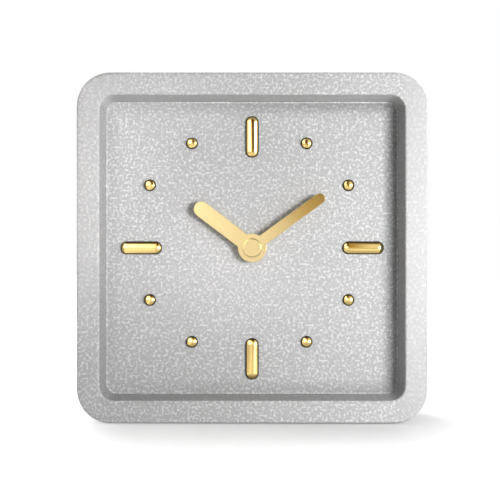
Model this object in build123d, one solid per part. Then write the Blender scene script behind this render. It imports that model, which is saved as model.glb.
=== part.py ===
from build123d import *
from math import asin, cos, pi, radians, sin
import os

# Square table clock with a recessed dial, applied bars and dots, two hands and a quartz movement.
# Millimetres. +X is to the right of someone facing the dial, +Y goes back and +Z is up.
# The origin is on the standing surface, under the middle of the case.
# Depths are measured back from the rim plane; dial places are measured from the hand axis.
# Levels are measured back from the front of the movement.

# Case
CASE_SIZE = 150.0
CASE_CORNER = 14.4
CASE_WALL = 3.0
OUTER_ROUND = 1.0
REAR_ROUND = 0.6
RIM_WIDTH = 9.4
OPENING_CORNER = 6.6
OPENING_ROUND = 0.8
RECESS_DEPTH = 12.0
RECESS_LEAN = 1.9
RECESS_WALL = 2.5
LEDGE_WIDTH = 0.5
LEDGE_STEP = 0.6

# Dial and its applied marks
DIAL_THICK = 3.0
DIAL_GAP = 0.2
BAR_LENGTH = 17.7
BAR_WIDTH = 5.3
BAR_CORNER = 2.5
BAR_ROUND = 1.9
BAR_MARGIN = 5.85
DOT_RADIUS = 2.38
DOT_EDGE = 1.1
DOT_MARGIN = 10.72
DOT_OFFSET_X = -1.25
DOT_OFFSET_Z = 2.3
MARK_HEIGHT = 2.2
MARK_SINK = 0.8
MARK_GAP = 0.22
STEM_RADIUS = 0.75
STEM_LENGTH = 1.6
STEM_SPREAD = 5.5
STEM_FIT = 0.05

# Hands, as the photo shows them
HOUR_TURN = 307.3
HOUR_LENGTH = 31.0
HOUR_WIDTH = 6.7
HOUR_HUB = 6.2
MINUTE_TURN = 54.0
MINUTE_LENGTH = 38.5
MINUTE_WIDTH = 4.55
MINUTE_HUB = 3.6
HAND_THICK = 0.5
COLLET_WALL = 1.05
HOUR_COLLET = 0.8
MINUTE_COLLET = 0.6
CAP_RADIUS = 4.1
CAP_THICK = 1.0
CAP_EDGE = 0.3
CAP_SOCKET = 0.4
CAP_FIT = 0.05
PIPE_END_GAP = 0.1

# Clamp through the dial
GASKET_RADIUS = 9.0
GASKET_THICK = 0.8
BUSH_RADIUS = 4.0
BUSH_FIT = 0.1
FLANGE_RADIUS = 5.5
FLANGE_THICK = 0.6
WASHER_RADIUS = 5.6
WASHER_THICK = 0.5
NUT_FLATS = 10.0
NUT_THICK = 1.8
BUSH_PROUD = 0.5

# Pipes and arbors
RUN_FIT = 0.08
HOUR_PIPE = 2.5
MINUTE_PIPE = 1.55
ARBOR = 0.5
SECOND_ARBOR_FIT = 0.1
PIVOT_FIT = 0.05
STUD = 0.9
STUD_FIT = 0.05

# Gears
TOOTH_ABOVE = 0.8
TOOTH_BELOW = 1.1
TOOTH_FOOT = 0.55
TOOTH_TIP = 0.2
MOTION_MODULE = 0.3
CANNON_TEETH = 15
MOTION_TEETH = 45
MOTION_PINION_TEETH = 12
HOUR_TEETH = 48
SETTING_TEETH = 15
TRAIN_MODULE = 0.25
CENTRE_TEETH = 64
THIRD_PINION_TEETH = 8
THIRD_TEETH = 60
SECOND_PINION_TEETH = 8
SECOND_TEETH = 60
INTER_PINION_TEETH = 12
INTER_TEETH = 60
ROTOR_MODULE = 0.2
ROTOR_TEETH = 10
GEAR_THICK = 0.8
PINION_LAP = 0.2
LEVEL_GAP = 0.7
RUN_GAP = 0.2
HUB_WALL = 0.95

# Where the train lies round the hand axis, in degrees anticlockwise from the right
MOTION_BEARING = 25.0
SETTING_BEARING = 0.0
THIRD_BEARING = 172.0
INTER_BEARING = 100.0
ROTOR_BEARING = 60.0

# Movement case
MOVEMENT_CORNER = 2.0
MOVEMENT_WALL = 1.2
PARTITION = 1.2
LID_THICK = 1.4
LID_CORNER = 1.0
BEARING_LENGTH = 2.0
BEARING_RADIUS = 1.5
BEARING_HOLE = 1.4
PIVOT_LENGTH = 1.2
PLATE_ROOM = 1.2
PLATE_THICK = 0.9
PLATE_LEFT = -17.5
PLATE_RIGHT = 14.0
PLATE_LOW = -9.6
PLATE_HIGH = 18.6
PLATE_CORNER = 2.0
POST_RADIUS = 1.5
POST_INSET = 1.9

# Stepping motor
MAGNET_RADIUS = 2.6
MAGNET_LENGTH = 2.6
AIR_GAP = 0.4
STATOR_THICK = 1.0
STATOR_RING = 5.0
STATOR_BAR = 2.2
LEG_WIDTH = 3.0
COIL_RISE = 8.1
COIL_LENGTH = 20.0
FLANGE_COIL = 3.3
FLANGE_WIDTH = 0.8
WINDING_RADIUS = 3.0
BOBBIN_RADIUS = 1.7
CORE_HEIGHT = 2.0
CORE_FIT = 0.1
LEG_GAP = 0.6
COIL_ROOM = 0.5

# Circuit board
BOARD_ROOM = 1.6
BOARD_LOW = 12.0
BOARD_LEVEL = 9.0
BOARD_THICK = 1.0
PILLAR_RADIUS = 1.2
PILLAR_INSET = 1.6
CAN_RADIUS = 1.0
CAN_LENGTH = 6.0
CAN_INSET = 2.4
BLOB_RADIUS = 2.2
BLOB_HEIGHT = 1.0
BLOB_INSET = 2.6

# Setting knob
KNOB_RADIUS = 6.2
KNOB_THICK = 3.4
KNOB_RIDGES = 28
KNOB_GROOVE = 0.35
KNOB_GAP = 0.3
KNOB_EDGE = 0.4
KNOB_SOCKET = 2.0
SETTING_SHAFT = 1.5
SETTING_PIVOT = 0.8
SETTING_BOSS = 1.8
SETTING_BOSS_HEIGHT = 1.4

# Battery bay
CELL_RADIUS = 7.1
CELL_LENGTH = 49.2
CELL_EDGE = 0.6
NUB_RADIUS = 2.7
NUB_LENGTH = 1.3
CELL_GAP = 0.3
END_GAP = 0.3
STRIP = 0.4
STRIP_FIT = 0.2
CONTACT_HALF = 5.0
CONTACT_FRONT = 3.0
CONTACT_BACK = 14.0
SPRING_RISE = 1.4
SPRING_HALF = 4.5
SPRING_FRONT = 6.0
SPRING_BACK = 11.0
DIMPLE_RADIUS = 2.0
DIMPLE_RISE = 0.3
TAIL_FRONT = 5.0
SLOT_FRONT = 4.0
TAB_WIDTH = 2.0

# Rear cover
REAR_ROOM = 6.5
COVER_THICK = 2.5
COVER_SUNK = 0.2
COVER_GAP = 0.2
COVER_REBATE = 1.4
WELL_ROOM = 2.0
WELL_CORNER = 4.0
WELL_WALL = 1.5
WELL_LAP = 7.5
BOSS_INSET = 8.2
BOSS_RADIUS = 3.4
SCREW_RADIUS = 0.98
SCREW_LENGTH = 10.0
SCREW_FIT = 0.02
SCREW_ROOM = 1.3
HEAD_RADIUS = 2.3
HEAD_THICK = 1.2
HEAD_FIT = 0.3
DRIVE_WIDTH = 0.7
DRIVE_SPAN = 2.6
DRIVE_DEPTH = 0.6

# Foot pads
PAD_RADIUS = 4.0
PAD_THICK = 1.5
PAD_PROUD = 0.5
PAD_FIT = 0.1
PAD_INSET = 25.0
PAD_REACH = 12.0

# Levels in the movement, each behind the last
HOUR_LEVEL = MOVEMENT_WALL + FLANGE_THICK + RUN_GAP
MOTION_LEVEL = HOUR_LEVEL + GEAR_THICK + LEVEL_GAP
PLATE_LEVEL = MOTION_LEVEL + GEAR_THICK + LEVEL_GAP
CENTRE_LEVEL = PLATE_LEVEL + PLATE_THICK + LEVEL_GAP
THIRD_LEVEL = CENTRE_LEVEL + GEAR_THICK + LEVEL_GAP
SECOND_LEVEL = THIRD_LEVEL + GEAR_THICK + LEVEL_GAP
INTER_LEVEL = SECOND_LEVEL + GEAR_THICK + LEVEL_GAP
BEARING_LEVEL = INTER_LEVEL + GEAR_THICK + LEVEL_GAP
LID_LEVEL = BEARING_LEVEL + BEARING_LENGTH
MOVEMENT_DEPTH = LID_LEVEL + LID_THICK
STATOR_LEVEL = THIRD_LEVEL + PINION_LAP
CORE_LEVEL = STATOR_LEVEL + STATOR_THICK
PIVOT_END = BEARING_LEVEL + PIVOT_LENGTH

# Depths behind the rim
DIAL_BACK = RECESS_DEPTH + DIAL_THICK
MARK_FOOT = RECESS_DEPTH + MARK_SINK
MOVEMENT_FRONT = DIAL_BACK + GASKET_THICK
CASE_DEPTH = MOVEMENT_FRONT + MOVEMENT_DEPTH + KNOB_GAP + KNOB_THICK + REAR_ROOM
COVER_FRONT = CASE_DEPTH - COVER_SUNK - COVER_THICK

# The hands stack forward from the dial face
WASHER_FRONT = RECESS_DEPTH - WASHER_THICK
NUT_FRONT = WASHER_FRONT - NUT_THICK
BUSH_FRONT = NUT_FRONT - BUSH_PROUD
HOUR_BACK = BUSH_FRONT - RUN_GAP - HOUR_COLLET
HOUR_FRONT = HOUR_BACK - HAND_THICK
MINUTE_BACK = HOUR_FRONT - RUN_GAP - MINUTE_COLLET
MINUTE_FRONT = MINUTE_BACK - HAND_THICK
MINUTE_PIPE_FRONT = MINUTE_FRONT - CAP_SOCKET + PIPE_END_GAP
CAP_FRONT = MINUTE_FRONT - CAP_THICK

# The case stands on its pads, with its depth centred on the origin
RIM_Y = -CASE_DEPTH / 2
AXIS_UP = PAD_PROUD + CASE_SIZE / 2

# Sizes that follow from the ones above
OPENING = CASE_SIZE - 2 * RIM_WIDTH
FOOT = OPENING - 2 * RECESS_LEAN
FOOT_CORNER = OPENING_CORNER - RECESS_LEAN
WINDOW = FOOT - 2 * LEDGE_WIDTH
WINDOW_CORNER = FOOT_CORNER - LEDGE_WIDTH
BAR_RING = WINDOW / 2 - BAR_MARGIN - BAR_LENGTH / 2
DOT_RING = WINDOW / 2 - DOT_MARGIN - DOT_RADIUS
SEAT = FOOT + 2 * RECESS_WALL
SEAT_CORNER = FOOT_CORNER + RECESS_WALL
HOLLOW = CASE_SIZE - 2 * CASE_WALL
HOLLOW_CORNER = CASE_CORNER - CASE_WALL
BAY_LENGTH = 2 * (STRIP + END_GAP) + SPRING_RISE + CELL_LENGTH + NUB_LENGTH + DIMPLE_RISE
BAY_SIDE = BAY_LENGTH / 2
CELL_LEFT = STRIP + SPRING_RISE + END_GAP - BAY_SIDE
CELL_RIGHT = CELL_LEFT + CELL_LENGTH
TRAIN_FLOOR = PLATE_LOW - PLATE_ROOM
BAY_TOP = TRAIN_FLOOR - PARTITION
CELL_UP = BAY_TOP - CELL_GAP - CELL_RADIUS
BAY_FLOOR = CELL_UP - CELL_RADIUS - CELL_GAP
CELL_LEVEL = MOVEMENT_WALL + CELL_GAP + CELL_RADIUS
MOVEMENT_WIDTH = BAY_LENGTH + 2 * MOVEMENT_WALL
MOVEMENT_LOW = BAY_FLOOR - MOVEMENT_WALL
PAD_SPREAD = CASE_SIZE / 2 - PAD_INSET
HOUR_BORE = MINUTE_PIPE + RUN_FIT
BUSH_BORE = HOUR_PIPE + RUN_FIT
PIVOT_HOLE = ARBOR + PIVOT_FIT
BOSS_AT = CASE_SIZE / 2 - BOSS_INSET


def spacing(first, second, module):
    """Distance between two meshing gears."""
    return module * (first + second) / 2


def polar(start, distance, bearing):
    """Point at a distance and bearing from another."""
    turn = radians(bearing)
    return (start[0] + distance * cos(turn), start[1] + distance * sin(turn))


MOTION_STEP = spacing(CANNON_TEETH, MOTION_TEETH, MOTION_MODULE)
HOUR_MODULE = 2 * MOTION_STEP / (MOTION_PINION_TEETH + HOUR_TEETH)
SETTING_STEP = spacing(MOTION_TEETH, SETTING_TEETH, MOTION_MODULE)
THIRD_STEP = spacing(CENTRE_TEETH, THIRD_PINION_TEETH, TRAIN_MODULE)
SECOND_MODULE = 2 * THIRD_STEP / (THIRD_TEETH + SECOND_PINION_TEETH)
INTER_STEP = spacing(SECOND_TEETH, INTER_PINION_TEETH, TRAIN_MODULE)
ROTOR_STEP = spacing(INTER_TEETH, ROTOR_TEETH, ROTOR_MODULE)

CENTRE_AT = (0.0, 0.0)
MOTION_AT = polar(CENTRE_AT, MOTION_STEP, MOTION_BEARING)
SETTING_AT = polar(MOTION_AT, SETTING_STEP, SETTING_BEARING)
THIRD_AT = polar(CENTRE_AT, THIRD_STEP, THIRD_BEARING)
INTER_AT = polar(CENTRE_AT, INTER_STEP, INTER_BEARING)
ROTOR_AT = polar(INTER_AT, ROTOR_STEP, ROTOR_BEARING)
COIL_UP = ROTOR_AT[1] + COIL_RISE
TRAIN_TOP = COIL_UP + FLANGE_COIL + COIL_ROOM
MOVEMENT_HIGH = TRAIN_TOP + MOVEMENT_WALL
MOVEMENT_HEIGHT = MOVEMENT_HIGH - MOVEMENT_LOW
MOVEMENT_MIDDLE = (MOVEMENT_HIGH + MOVEMENT_LOW) / 2
LEG_INNER = COIL_LENGTH / 2 + LEG_GAP
LEG_OUTER = LEG_INNER + LEG_WIDTH
BOARD_LEFT = ROTOR_AT[0] + LEG_OUTER + BOARD_ROOM
BOARD_RIGHT = BAY_SIDE - STRIP
BOARD_HIGH = TRAIN_TOP - STRIP


def meshed(turn, teeth, mate, bearing):
    """Turn of a mate that puts one of its spaces on the tooth facing it."""
    share = (bearing - turn) * teeth / 360
    return bearing + 180 - 360 * (0.5 - share) / mate


# Each gear's turn follows the one that meshes with it
CANNON_TURN = 0.0
MOTION_TURN = meshed(CANNON_TURN, CANNON_TEETH, MOTION_TEETH, MOTION_BEARING)
MOTION_PINION_TURN = 0.0
HOUR_WHEEL_TURN = meshed(MOTION_PINION_TURN, MOTION_PINION_TEETH, HOUR_TEETH, MOTION_BEARING + 180)
SETTING_TURN = meshed(MOTION_TURN, MOTION_TEETH, SETTING_TEETH, SETTING_BEARING)
CENTRE_TURN = 0.0
THIRD_PINION_TURN = meshed(CENTRE_TURN, CENTRE_TEETH, THIRD_PINION_TEETH, THIRD_BEARING)
THIRD_TURN = 0.0
SECOND_PINION_TURN = meshed(THIRD_TURN, THIRD_TEETH, SECOND_PINION_TEETH, THIRD_BEARING + 180)
SECOND_TURN = 0.0
INTER_PINION_TURN = meshed(SECOND_TURN, SECOND_TEETH, INTER_PINION_TEETH, INTER_BEARING)
INTER_TURN = 0.0
ROTOR_TURN = meshed(INTER_TURN, INTER_TEETH, ROTOR_TEETH, ROTOR_BEARING)


def plane_at(depth):
    """Dial-wise plane at a depth, facing forward."""
    return Plane(origin=(0, RIM_Y + depth, AXIS_UP), x_dir=(1, 0, 0), z_dir=(0, -1, 0))


def slab(outline, front, back):
    """Solid of a dial-wise outline between two depths."""
    return extrude(plane_at(back) * outline, amount=back - front)


def layer(outline, front, back):
    """Solid of an outline between two levels of the movement."""
    return slab(outline, MOVEMENT_FRONT + front, MOVEMENT_FRONT + back)


def square(side, corner):
    """Rounded square round the hand axis."""
    return RectangleRounded(side, side, corner)


def disc(radius, at=CENTRE_AT):
    """Circle at a dial place."""
    return Pos(*at) * Circle(radius)


def ring(outer, inner, at=CENTRE_AT):
    """Circle with a round hole at a dial place."""
    return Pos(*at) * (Circle(outer) - Circle(inner))


def block(left, right, low, high):
    """Rectangle between four dial lines."""
    return Pos((left + right) / 2, (low + high) / 2) * Rectangle(right - left, high - low)


def toothed(teeth, module, turn, at=CENTRE_AT):
    """Gear outline with straight flanks, narrow tips and room to run."""
    pitch = teeth * module / 2
    foot = pitch - TOOTH_BELOW * module
    tip = pitch + TOOTH_ABOVE * module
    half = pi / teeth
    points = []
    for number in range(teeth):
        middle = radians(turn) + 2 * half * number
        for radius, swing in (
            (foot, -TOOTH_FOOT),
            (tip, -TOOTH_TIP),
            (tip, TOOTH_TIP),
            (foot, TOOTH_FOOT),
        ):
            angle = middle + swing * half
            points.append((at[0] + radius * cos(angle), at[1] + radius * sin(angle)))
    return make_face(Polyline(*points, close=True))


def leaning(front_side, front_corner, back_side, back_corner, front, back):
    """Solid between two rounded squares at two depths."""
    near = plane_at(front) * square(front_side, front_corner)
    far = plane_at(back) * square(back_side, back_corner)
    return loft([near, far], ruled=True)


def turned(shape, degrees, at=CENTRE_AT):
    """Shape turned clockwise, seen from the front, about a dial place."""
    return shape.rotate(Axis((at[0], 0, AXIS_UP + at[1]), (0, 1, 0)), degrees)


def dome(radius, rise, at, foot, way):
    """Cap of a ball on a round foot, rising forward for a way of -1 and backward for 1."""
    ball = (radius**2 + rise**2) / (2 * rise)
    halfway = asin(radius / ball) / 2
    shoulder = (ball * sin(halfway), way * (rise - ball + ball * cos(halfway)))
    profile = make_face(
        [
            Line((0, 0), (radius, 0)),
            ThreePointArc((radius, 0), shoulder, (0, way * rise)),
            Line((0, way * rise), (0, 0)),
        ]
    )
    side = Plane(origin=(at[0], RIM_Y + foot, AXIS_UP + at[1]), x_dir=(1, 0, 0), z_dir=(0, 0, 1))
    return revolve(side * profile, Axis((at[0], 0, AXIS_UP + at[1]), (0, 1, 0)))


def front_edges(shape):
    """Edges of the foremost face of a shape."""
    return shape.edges().group_by(Axis.Y)[0]


def corner_places(reach):
    """Four places, one towards each corner."""
    return [(side * reach, rise * reach) for side in (-1, 1) for rise in (-1, 1)]


def rod_x(radius, left, right, up, level):
    """Round rod lying across the movement."""
    start = (left, RIM_Y + MOVEMENT_FRONT + level, AXIS_UP + up)
    return extrude(Plane(origin=start, z_dir=(1, 0, 0)) * Circle(radius), amount=right - left)


def pad_places():
    """Centres of the foot pads, across and along the depth."""
    return [(side * PAD_SPREAD, end * PAD_REACH) for side in (-1, 1) for end in (-1, 1)]


def housing():
    """Case with a front rim, a leaning recess wall, a dial seat and four screw bosses."""
    body = slab(square(CASE_SIZE, CASE_CORNER), 0, CASE_DEPTH)
    body = fillet(front_edges(body), OUTER_ROUND)
    body = fillet(body.edges().group_by(Axis.Y)[-1], REAR_ROUND)
    ledge = RECESS_DEPTH - LEDGE_STEP
    body -= leaning(OPENING, OPENING_CORNER, FOOT, FOOT_CORNER, 0, ledge)
    body -= slab(square(WINDOW, WINDOW_CORNER), ledge, RECESS_DEPTH)
    edge = OPENING / 2 + OPENING_ROUND
    rim_edges = [
        line
        for line in body.edges().filter_by_position(Axis.Y, RIM_Y, RIM_Y)
        if max(abs(line.center().X), abs(line.center().Z - AXIS_UP)) < edge
    ]
    body = fillet(rim_edges, OPENING_ROUND)
    hollow = slab(square(HOLLOW, HOLLOW_CORNER), CASE_WALL, CASE_DEPTH)
    wall_side = OPENING + 2 * RECESS_WALL
    wall_corner = OPENING_CORNER + RECESS_WALL
    hollow -= leaning(wall_side, wall_corner, SEAT, SEAT_CORNER, 0, RECESS_DEPTH)
    for place in corner_places(BOSS_AT):
        hollow -= slab(disc(BOSS_RADIUS, place), 0, COVER_FRONT)
    body -= hollow
    rebate = HOLLOW + 2 * COVER_REBATE
    body -= slab(square(rebate, HOLLOW_CORNER + COVER_REBATE), COVER_FRONT, CASE_DEPTH)
    for place in corner_places(BOSS_AT):
        pilot = disc(SCREW_RADIUS + SCREW_FIT, place)
        body -= slab(pilot, COVER_FRONT - SCREW_LENGTH, COVER_FRONT)
    for across, along in pad_places():
        pocket = Plane(origin=(across, along, PAD_PROUD)) * Circle(PAD_RADIUS + PAD_FIT)
        body -= extrude(pocket, amount=PAD_THICK - PAD_PROUD)
    return body


def foot_pads():
    """Four round pads that stand a little below the case."""
    pads = []
    for across, along in pad_places():
        pads.append(extrude(Plane(origin=(across, along, 0)) * Circle(PAD_RADIUS), amount=PAD_THICK))
    return Compound([pad.solid() for pad in pads])


def bar_stems(radius):
    """Outlines of the two stems of the upper bar."""
    low = Pos(0, BAR_RING - STEM_SPREAD) * Circle(radius)
    high = Pos(0, BAR_RING + STEM_SPREAD) * Circle(radius)
    return low + high


def bar_outline(room):
    """Outline of the upper bar with room round it."""
    return Pos(0, BAR_RING) * RectangleRounded(
        BAR_WIDTH + 2 * room, BAR_LENGTH + 2 * room, BAR_CORNER + room
    )


def hour_bar(hour):
    """Applied bar with a cushioned top and two stems, set in a pocket of the dial."""
    bar = slab(bar_outline(0), RECESS_DEPTH - MARK_HEIGHT, MARK_FOOT)
    bar = fillet(front_edges(bar), BAR_ROUND)
    bar += slab(bar_stems(STEM_RADIUS), MARK_FOOT, MARK_FOOT + STEM_LENGTH)
    return turned(bar, 30 * hour)


def dot_place(hour):
    """Centre of a dot on its own circle, which sits off the hand axis."""
    return polar((DOT_OFFSET_X, DOT_OFFSET_Z), DOT_RING, 90 - 30 * hour)


def hour_dot(hour):
    """Applied domed dot with a straight edge and one stem, set in a pocket of the dial."""
    at = dot_place(hour)
    rim = RECESS_DEPTH - DOT_EDGE
    dot = slab(disc(DOT_RADIUS, at), rim, MARK_FOOT)
    dot += dome(DOT_RADIUS, MARK_HEIGHT - DOT_EDGE, at, rim, -1)
    return dot + slab(disc(STEM_RADIUS, at), MARK_FOOT, MARK_FOOT + STEM_LENGTH)


BAR_HOURS = (12, 3, 6, 9)
DOT_HOURS = (1, 2, 4, 5, 7, 8, 10, 11)


def dial_plate():
    """Square dial that seats behind the recess wall, with a pocket and bores for every mark."""
    plate = slab(square(SEAT - 2 * DIAL_GAP, SEAT_CORNER - DIAL_GAP), RECESS_DEPTH, DIAL_BACK)
    plate -= slab(disc(BUSH_RADIUS + BUSH_FIT), RECESS_DEPTH, DIAL_BACK)
    hole = STEM_RADIUS + STEM_FIT
    for hour in BAR_HOURS:
        plate -= turned(slab(bar_outline(MARK_GAP), RECESS_DEPTH, MARK_FOOT), 30 * hour)
        plate -= turned(slab(bar_stems(hole), MARK_FOOT, DIAL_BACK), 30 * hour)
    for hour in DOT_HOURS:
        plate -= slab(disc(DOT_RADIUS + MARK_GAP, dot_place(hour)), RECESS_DEPTH, MARK_FOOT)
        plate -= slab(disc(hole, dot_place(hour)), MARK_FOOT, DIAL_BACK)
    return plate


def hand(length, width, hub, bore, front, back, collet):
    """Flat hand with a round tip, a hub and a short collet behind it."""
    blade = block(-width / 2, width / 2, 0, length - width / 2)
    outline = blade + disc(width / 2, (0, length - width / 2)) + disc(hub) - disc(bore)
    return slab(outline, front, back) + slab(ring(bore + COLLET_WALL, bore), back, back + collet)


def hour_hand():
    """Hour hand, pressed on the hour pipe."""
    plate = hand(HOUR_LENGTH, HOUR_WIDTH, HOUR_HUB, HOUR_PIPE, HOUR_FRONT, HOUR_BACK, HOUR_COLLET)
    return turned(plate, HOUR_TURN)


def minute_hand():
    """Minute hand, pressed on the minute pipe."""
    plate = hand(
        MINUTE_LENGTH, MINUTE_WIDTH, MINUTE_HUB, MINUTE_PIPE, MINUTE_FRONT, MINUTE_BACK, MINUTE_COLLET
    )
    return turned(plate, MINUTE_TURN)


def hand_cap():
    """Round cap that closes the end of the minute pipe."""
    cap = slab(disc(CAP_RADIUS), CAP_FRONT, MINUTE_FRONT)
    cap = chamfer(front_edges(cap), CAP_EDGE)
    return cap - slab(disc(MINUTE_PIPE + CAP_FIT), MINUTE_FRONT - CAP_SOCKET, MINUTE_FRONT)


def dial_gasket():
    """Soft ring between the movement and the dial."""
    return slab(ring(GASKET_RADIUS, BUSH_RADIUS + BUSH_FIT), DIAL_BACK, MOVEMENT_FRONT)


def dial_washer():
    """Flat ring under the nut."""
    return slab(ring(WASHER_RADIUS, BUSH_RADIUS + BUSH_FIT), WASHER_FRONT, RECESS_DEPTH)


def hex_nut():
    """Nut that clamps the movement to the dial."""
    outline = RegularPolygon(NUT_FLATS / 2, 6, major_radius=False) - Circle(BUSH_RADIUS)
    return slab(outline, NUT_FRONT, WASHER_FRONT)


def centre_bush():
    """Flanged tube from inside the movement to the front of the nut."""
    floor = MOVEMENT_FRONT + MOVEMENT_WALL
    tube = slab(ring(BUSH_RADIUS, BUSH_BORE), BUSH_FRONT, floor)
    return tube + slab(ring(FLANGE_RADIUS, BUSH_BORE), floor, floor + FLANGE_THICK)


def hour_wheel():
    """Hour wheel and the pipe that carries the hour hand."""
    wheel = layer(toothed(HOUR_TEETH, HOUR_MODULE, HOUR_WHEEL_TURN), HOUR_LEVEL, HOUR_LEVEL + GEAR_THICK)
    wheel += slab(disc(HOUR_PIPE), HOUR_FRONT, MOVEMENT_FRONT + HOUR_LEVEL)
    return wheel - slab(disc(HOUR_BORE), HOUR_FRONT, MOVEMENT_FRONT + HOUR_LEVEL + GEAR_THICK)


def minute_pipe():
    """Pipe with the cannon pinion, which carries the minute hand."""
    rear = CENTRE_LEVEL + GEAR_THICK + PINION_LAP
    pipe = slab(disc(MINUTE_PIPE), MINUTE_PIPE_FRONT, MOVEMENT_FRONT + rear)
    leaves = toothed(CANNON_TEETH, MOTION_MODULE, CANNON_TURN)
    pipe += layer(leaves, MOTION_LEVEL - PINION_LAP, MOTION_LEVEL + GEAR_THICK + PINION_LAP)
    bore = disc(ARBOR + SECOND_ARBOR_FIT)
    return pipe - slab(bore, MINUTE_PIPE_FRONT, MOVEMENT_FRONT + rear)


def centre_wheel():
    """Wheel on the rear end of the minute pipe."""
    wheel = layer(toothed(CENTRE_TEETH, TRAIN_MODULE, CENTRE_TURN), CENTRE_LEVEL, CENTRE_LEVEL + GEAR_THICK)
    hub = disc(MINUTE_PIPE + HUB_WALL)
    wheel += layer(hub, CENTRE_LEVEL - PINION_LAP, CENTRE_LEVEL + GEAR_THICK + PINION_LAP)
    bore = disc(MINUTE_PIPE)
    return wheel - layer(bore, CENTRE_LEVEL - PINION_LAP, CENTRE_LEVEL + GEAR_THICK + PINION_LAP)


def motion_wheel():
    """Wheel and pinion that run on a stud and slow the hour wheel."""
    outline = toothed(MOTION_TEETH, MOTION_MODULE, MOTION_TURN, MOTION_AT)
    wheel = layer(outline, MOTION_LEVEL, MOTION_LEVEL + GEAR_THICK)
    leaves = toothed(MOTION_PINION_TEETH, HOUR_MODULE, MOTION_PINION_TURN, MOTION_AT)
    wheel += layer(leaves, HOUR_LEVEL - PINION_LAP, MOTION_LEVEL)
    bore = disc(STUD + STUD_FIT, MOTION_AT)
    return wheel - layer(bore, HOUR_LEVEL - PINION_LAP, MOTION_LEVEL + GEAR_THICK)


def train_arbor(wheel, level, leaves, leaves_front, front, at):
    """Wheel and pinion on one arbor that ends in the lid."""
    body = layer(wheel, level, level + GEAR_THICK)
    body += layer(leaves, leaves_front, level)
    return body + layer(disc(ARBOR, at), front, PIVOT_END)


def third_wheel():
    """Third wheel and pinion."""
    wheel = toothed(THIRD_TEETH, SECOND_MODULE, THIRD_TURN, THIRD_AT)
    leaves = toothed(THIRD_PINION_TEETH, TRAIN_MODULE, THIRD_PINION_TURN, THIRD_AT)
    return train_arbor(wheel, THIRD_LEVEL, leaves, CENTRE_LEVEL - PINION_LAP, PLATE_LEVEL, THIRD_AT)


def second_wheel():
    """Second wheel and pinion, whose arbor runs inside the minute pipe."""
    wheel = toothed(SECOND_TEETH, TRAIN_MODULE, SECOND_TURN)
    leaves = toothed(SECOND_PINION_TEETH, SECOND_MODULE, SECOND_PINION_TURN)
    front = HOUR_LEVEL
    return train_arbor(wheel, SECOND_LEVEL, leaves, THIRD_LEVEL - PINION_LAP, front, CENTRE_AT)


def intermediate_wheel():
    """Wheel and pinion between the second wheel and the rotor."""
    wheel = toothed(INTER_TEETH, ROTOR_MODULE, INTER_TURN, INTER_AT)
    leaves = toothed(INTER_PINION_TEETH, TRAIN_MODULE, INTER_PINION_TURN, INTER_AT)
    return train_arbor(wheel, INTER_LEVEL, leaves, SECOND_LEVEL - PINION_LAP, PLATE_LEVEL, INTER_AT)


MAGNET_FRONT = STATOR_LEVEL + STATOR_THICK / 2 - MAGNET_LENGTH / 2
MAGNET_BACK = MAGNET_FRONT + MAGNET_LENGTH


def rotor_pinion():
    """Rotor arbor with its pinion."""
    leaves = toothed(ROTOR_TEETH, ROTOR_MODULE, ROTOR_TURN, ROTOR_AT)
    body = layer(leaves, INTER_LEVEL - PINION_LAP, INTER_LEVEL + GEAR_THICK + PINION_LAP)
    return body + layer(disc(ARBOR, ROTOR_AT), PLATE_LEVEL, PIVOT_END)


def rotor_magnet():
    """Round magnet on the rotor arbor."""
    return layer(ring(MAGNET_RADIUS, ARBOR, ROTOR_AT), MAGNET_FRONT, MAGNET_BACK)


def stator():
    """Flat stator round the rotor, with two legs up to the coil core."""
    middle, height = ROTOR_AT
    outline = disc(STATOR_RING, ROTOR_AT)
    outline += block(middle - LEG_OUTER, middle + LEG_OUTER, height - STATOR_BAR, height + STATOR_BAR)
    for side in (-1, 1):
        near, far = sorted((middle + side * LEG_INNER, middle + side * LEG_OUTER))
        outline += block(near, far, height, COIL_UP + CORE_HEIGHT / 2)
    outline -= disc(MAGNET_RADIUS + AIR_GAP, ROTOR_AT)
    return layer(outline, STATOR_LEVEL, STATOR_LEVEL + STATOR_THICK)


def coil_core():
    """Flat core through the bobbin, lying on both stator legs."""
    middle = ROTOR_AT[0]
    half = CORE_HEIGHT / 2
    outline = block(middle - LEG_OUTER, middle + LEG_OUTER, COIL_UP - half, COIL_UP + half)
    return layer(outline, CORE_LEVEL, CORE_LEVEL + STATOR_THICK)


def coil_bobbin():
    """Former with two flanges and a slot for the core."""
    left = ROTOR_AT[0] - COIL_LENGTH / 2
    right = ROTOR_AT[0] + COIL_LENGTH / 2
    level = CORE_LEVEL + STATOR_THICK / 2
    body = rod_x(BOBBIN_RADIUS, left, right, COIL_UP, level)
    body += rod_x(FLANGE_COIL, left, left + FLANGE_WIDTH, COIL_UP, level)
    body += rod_x(FLANGE_COIL, right - FLANGE_WIDTH, right, COIL_UP, level)
    half = CORE_HEIGHT / 2 + CORE_FIT
    slot = block(left, right, COIL_UP - half, COIL_UP + half)
    return body - layer(slot, CORE_LEVEL - CORE_FIT, CORE_LEVEL + STATOR_THICK + CORE_FIT)


def coil_winding():
    """Wire wound between the flanges."""
    left = ROTOR_AT[0] - COIL_LENGTH / 2 + FLANGE_WIDTH
    right = ROTOR_AT[0] + COIL_LENGTH / 2 - FLANGE_WIDTH
    level = CORE_LEVEL + STATOR_THICK / 2
    body = rod_x(WINDING_RADIUS, left, right, COIL_UP, level)
    return body - rod_x(BOBBIN_RADIUS, left, right, COIL_UP, level)


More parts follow.
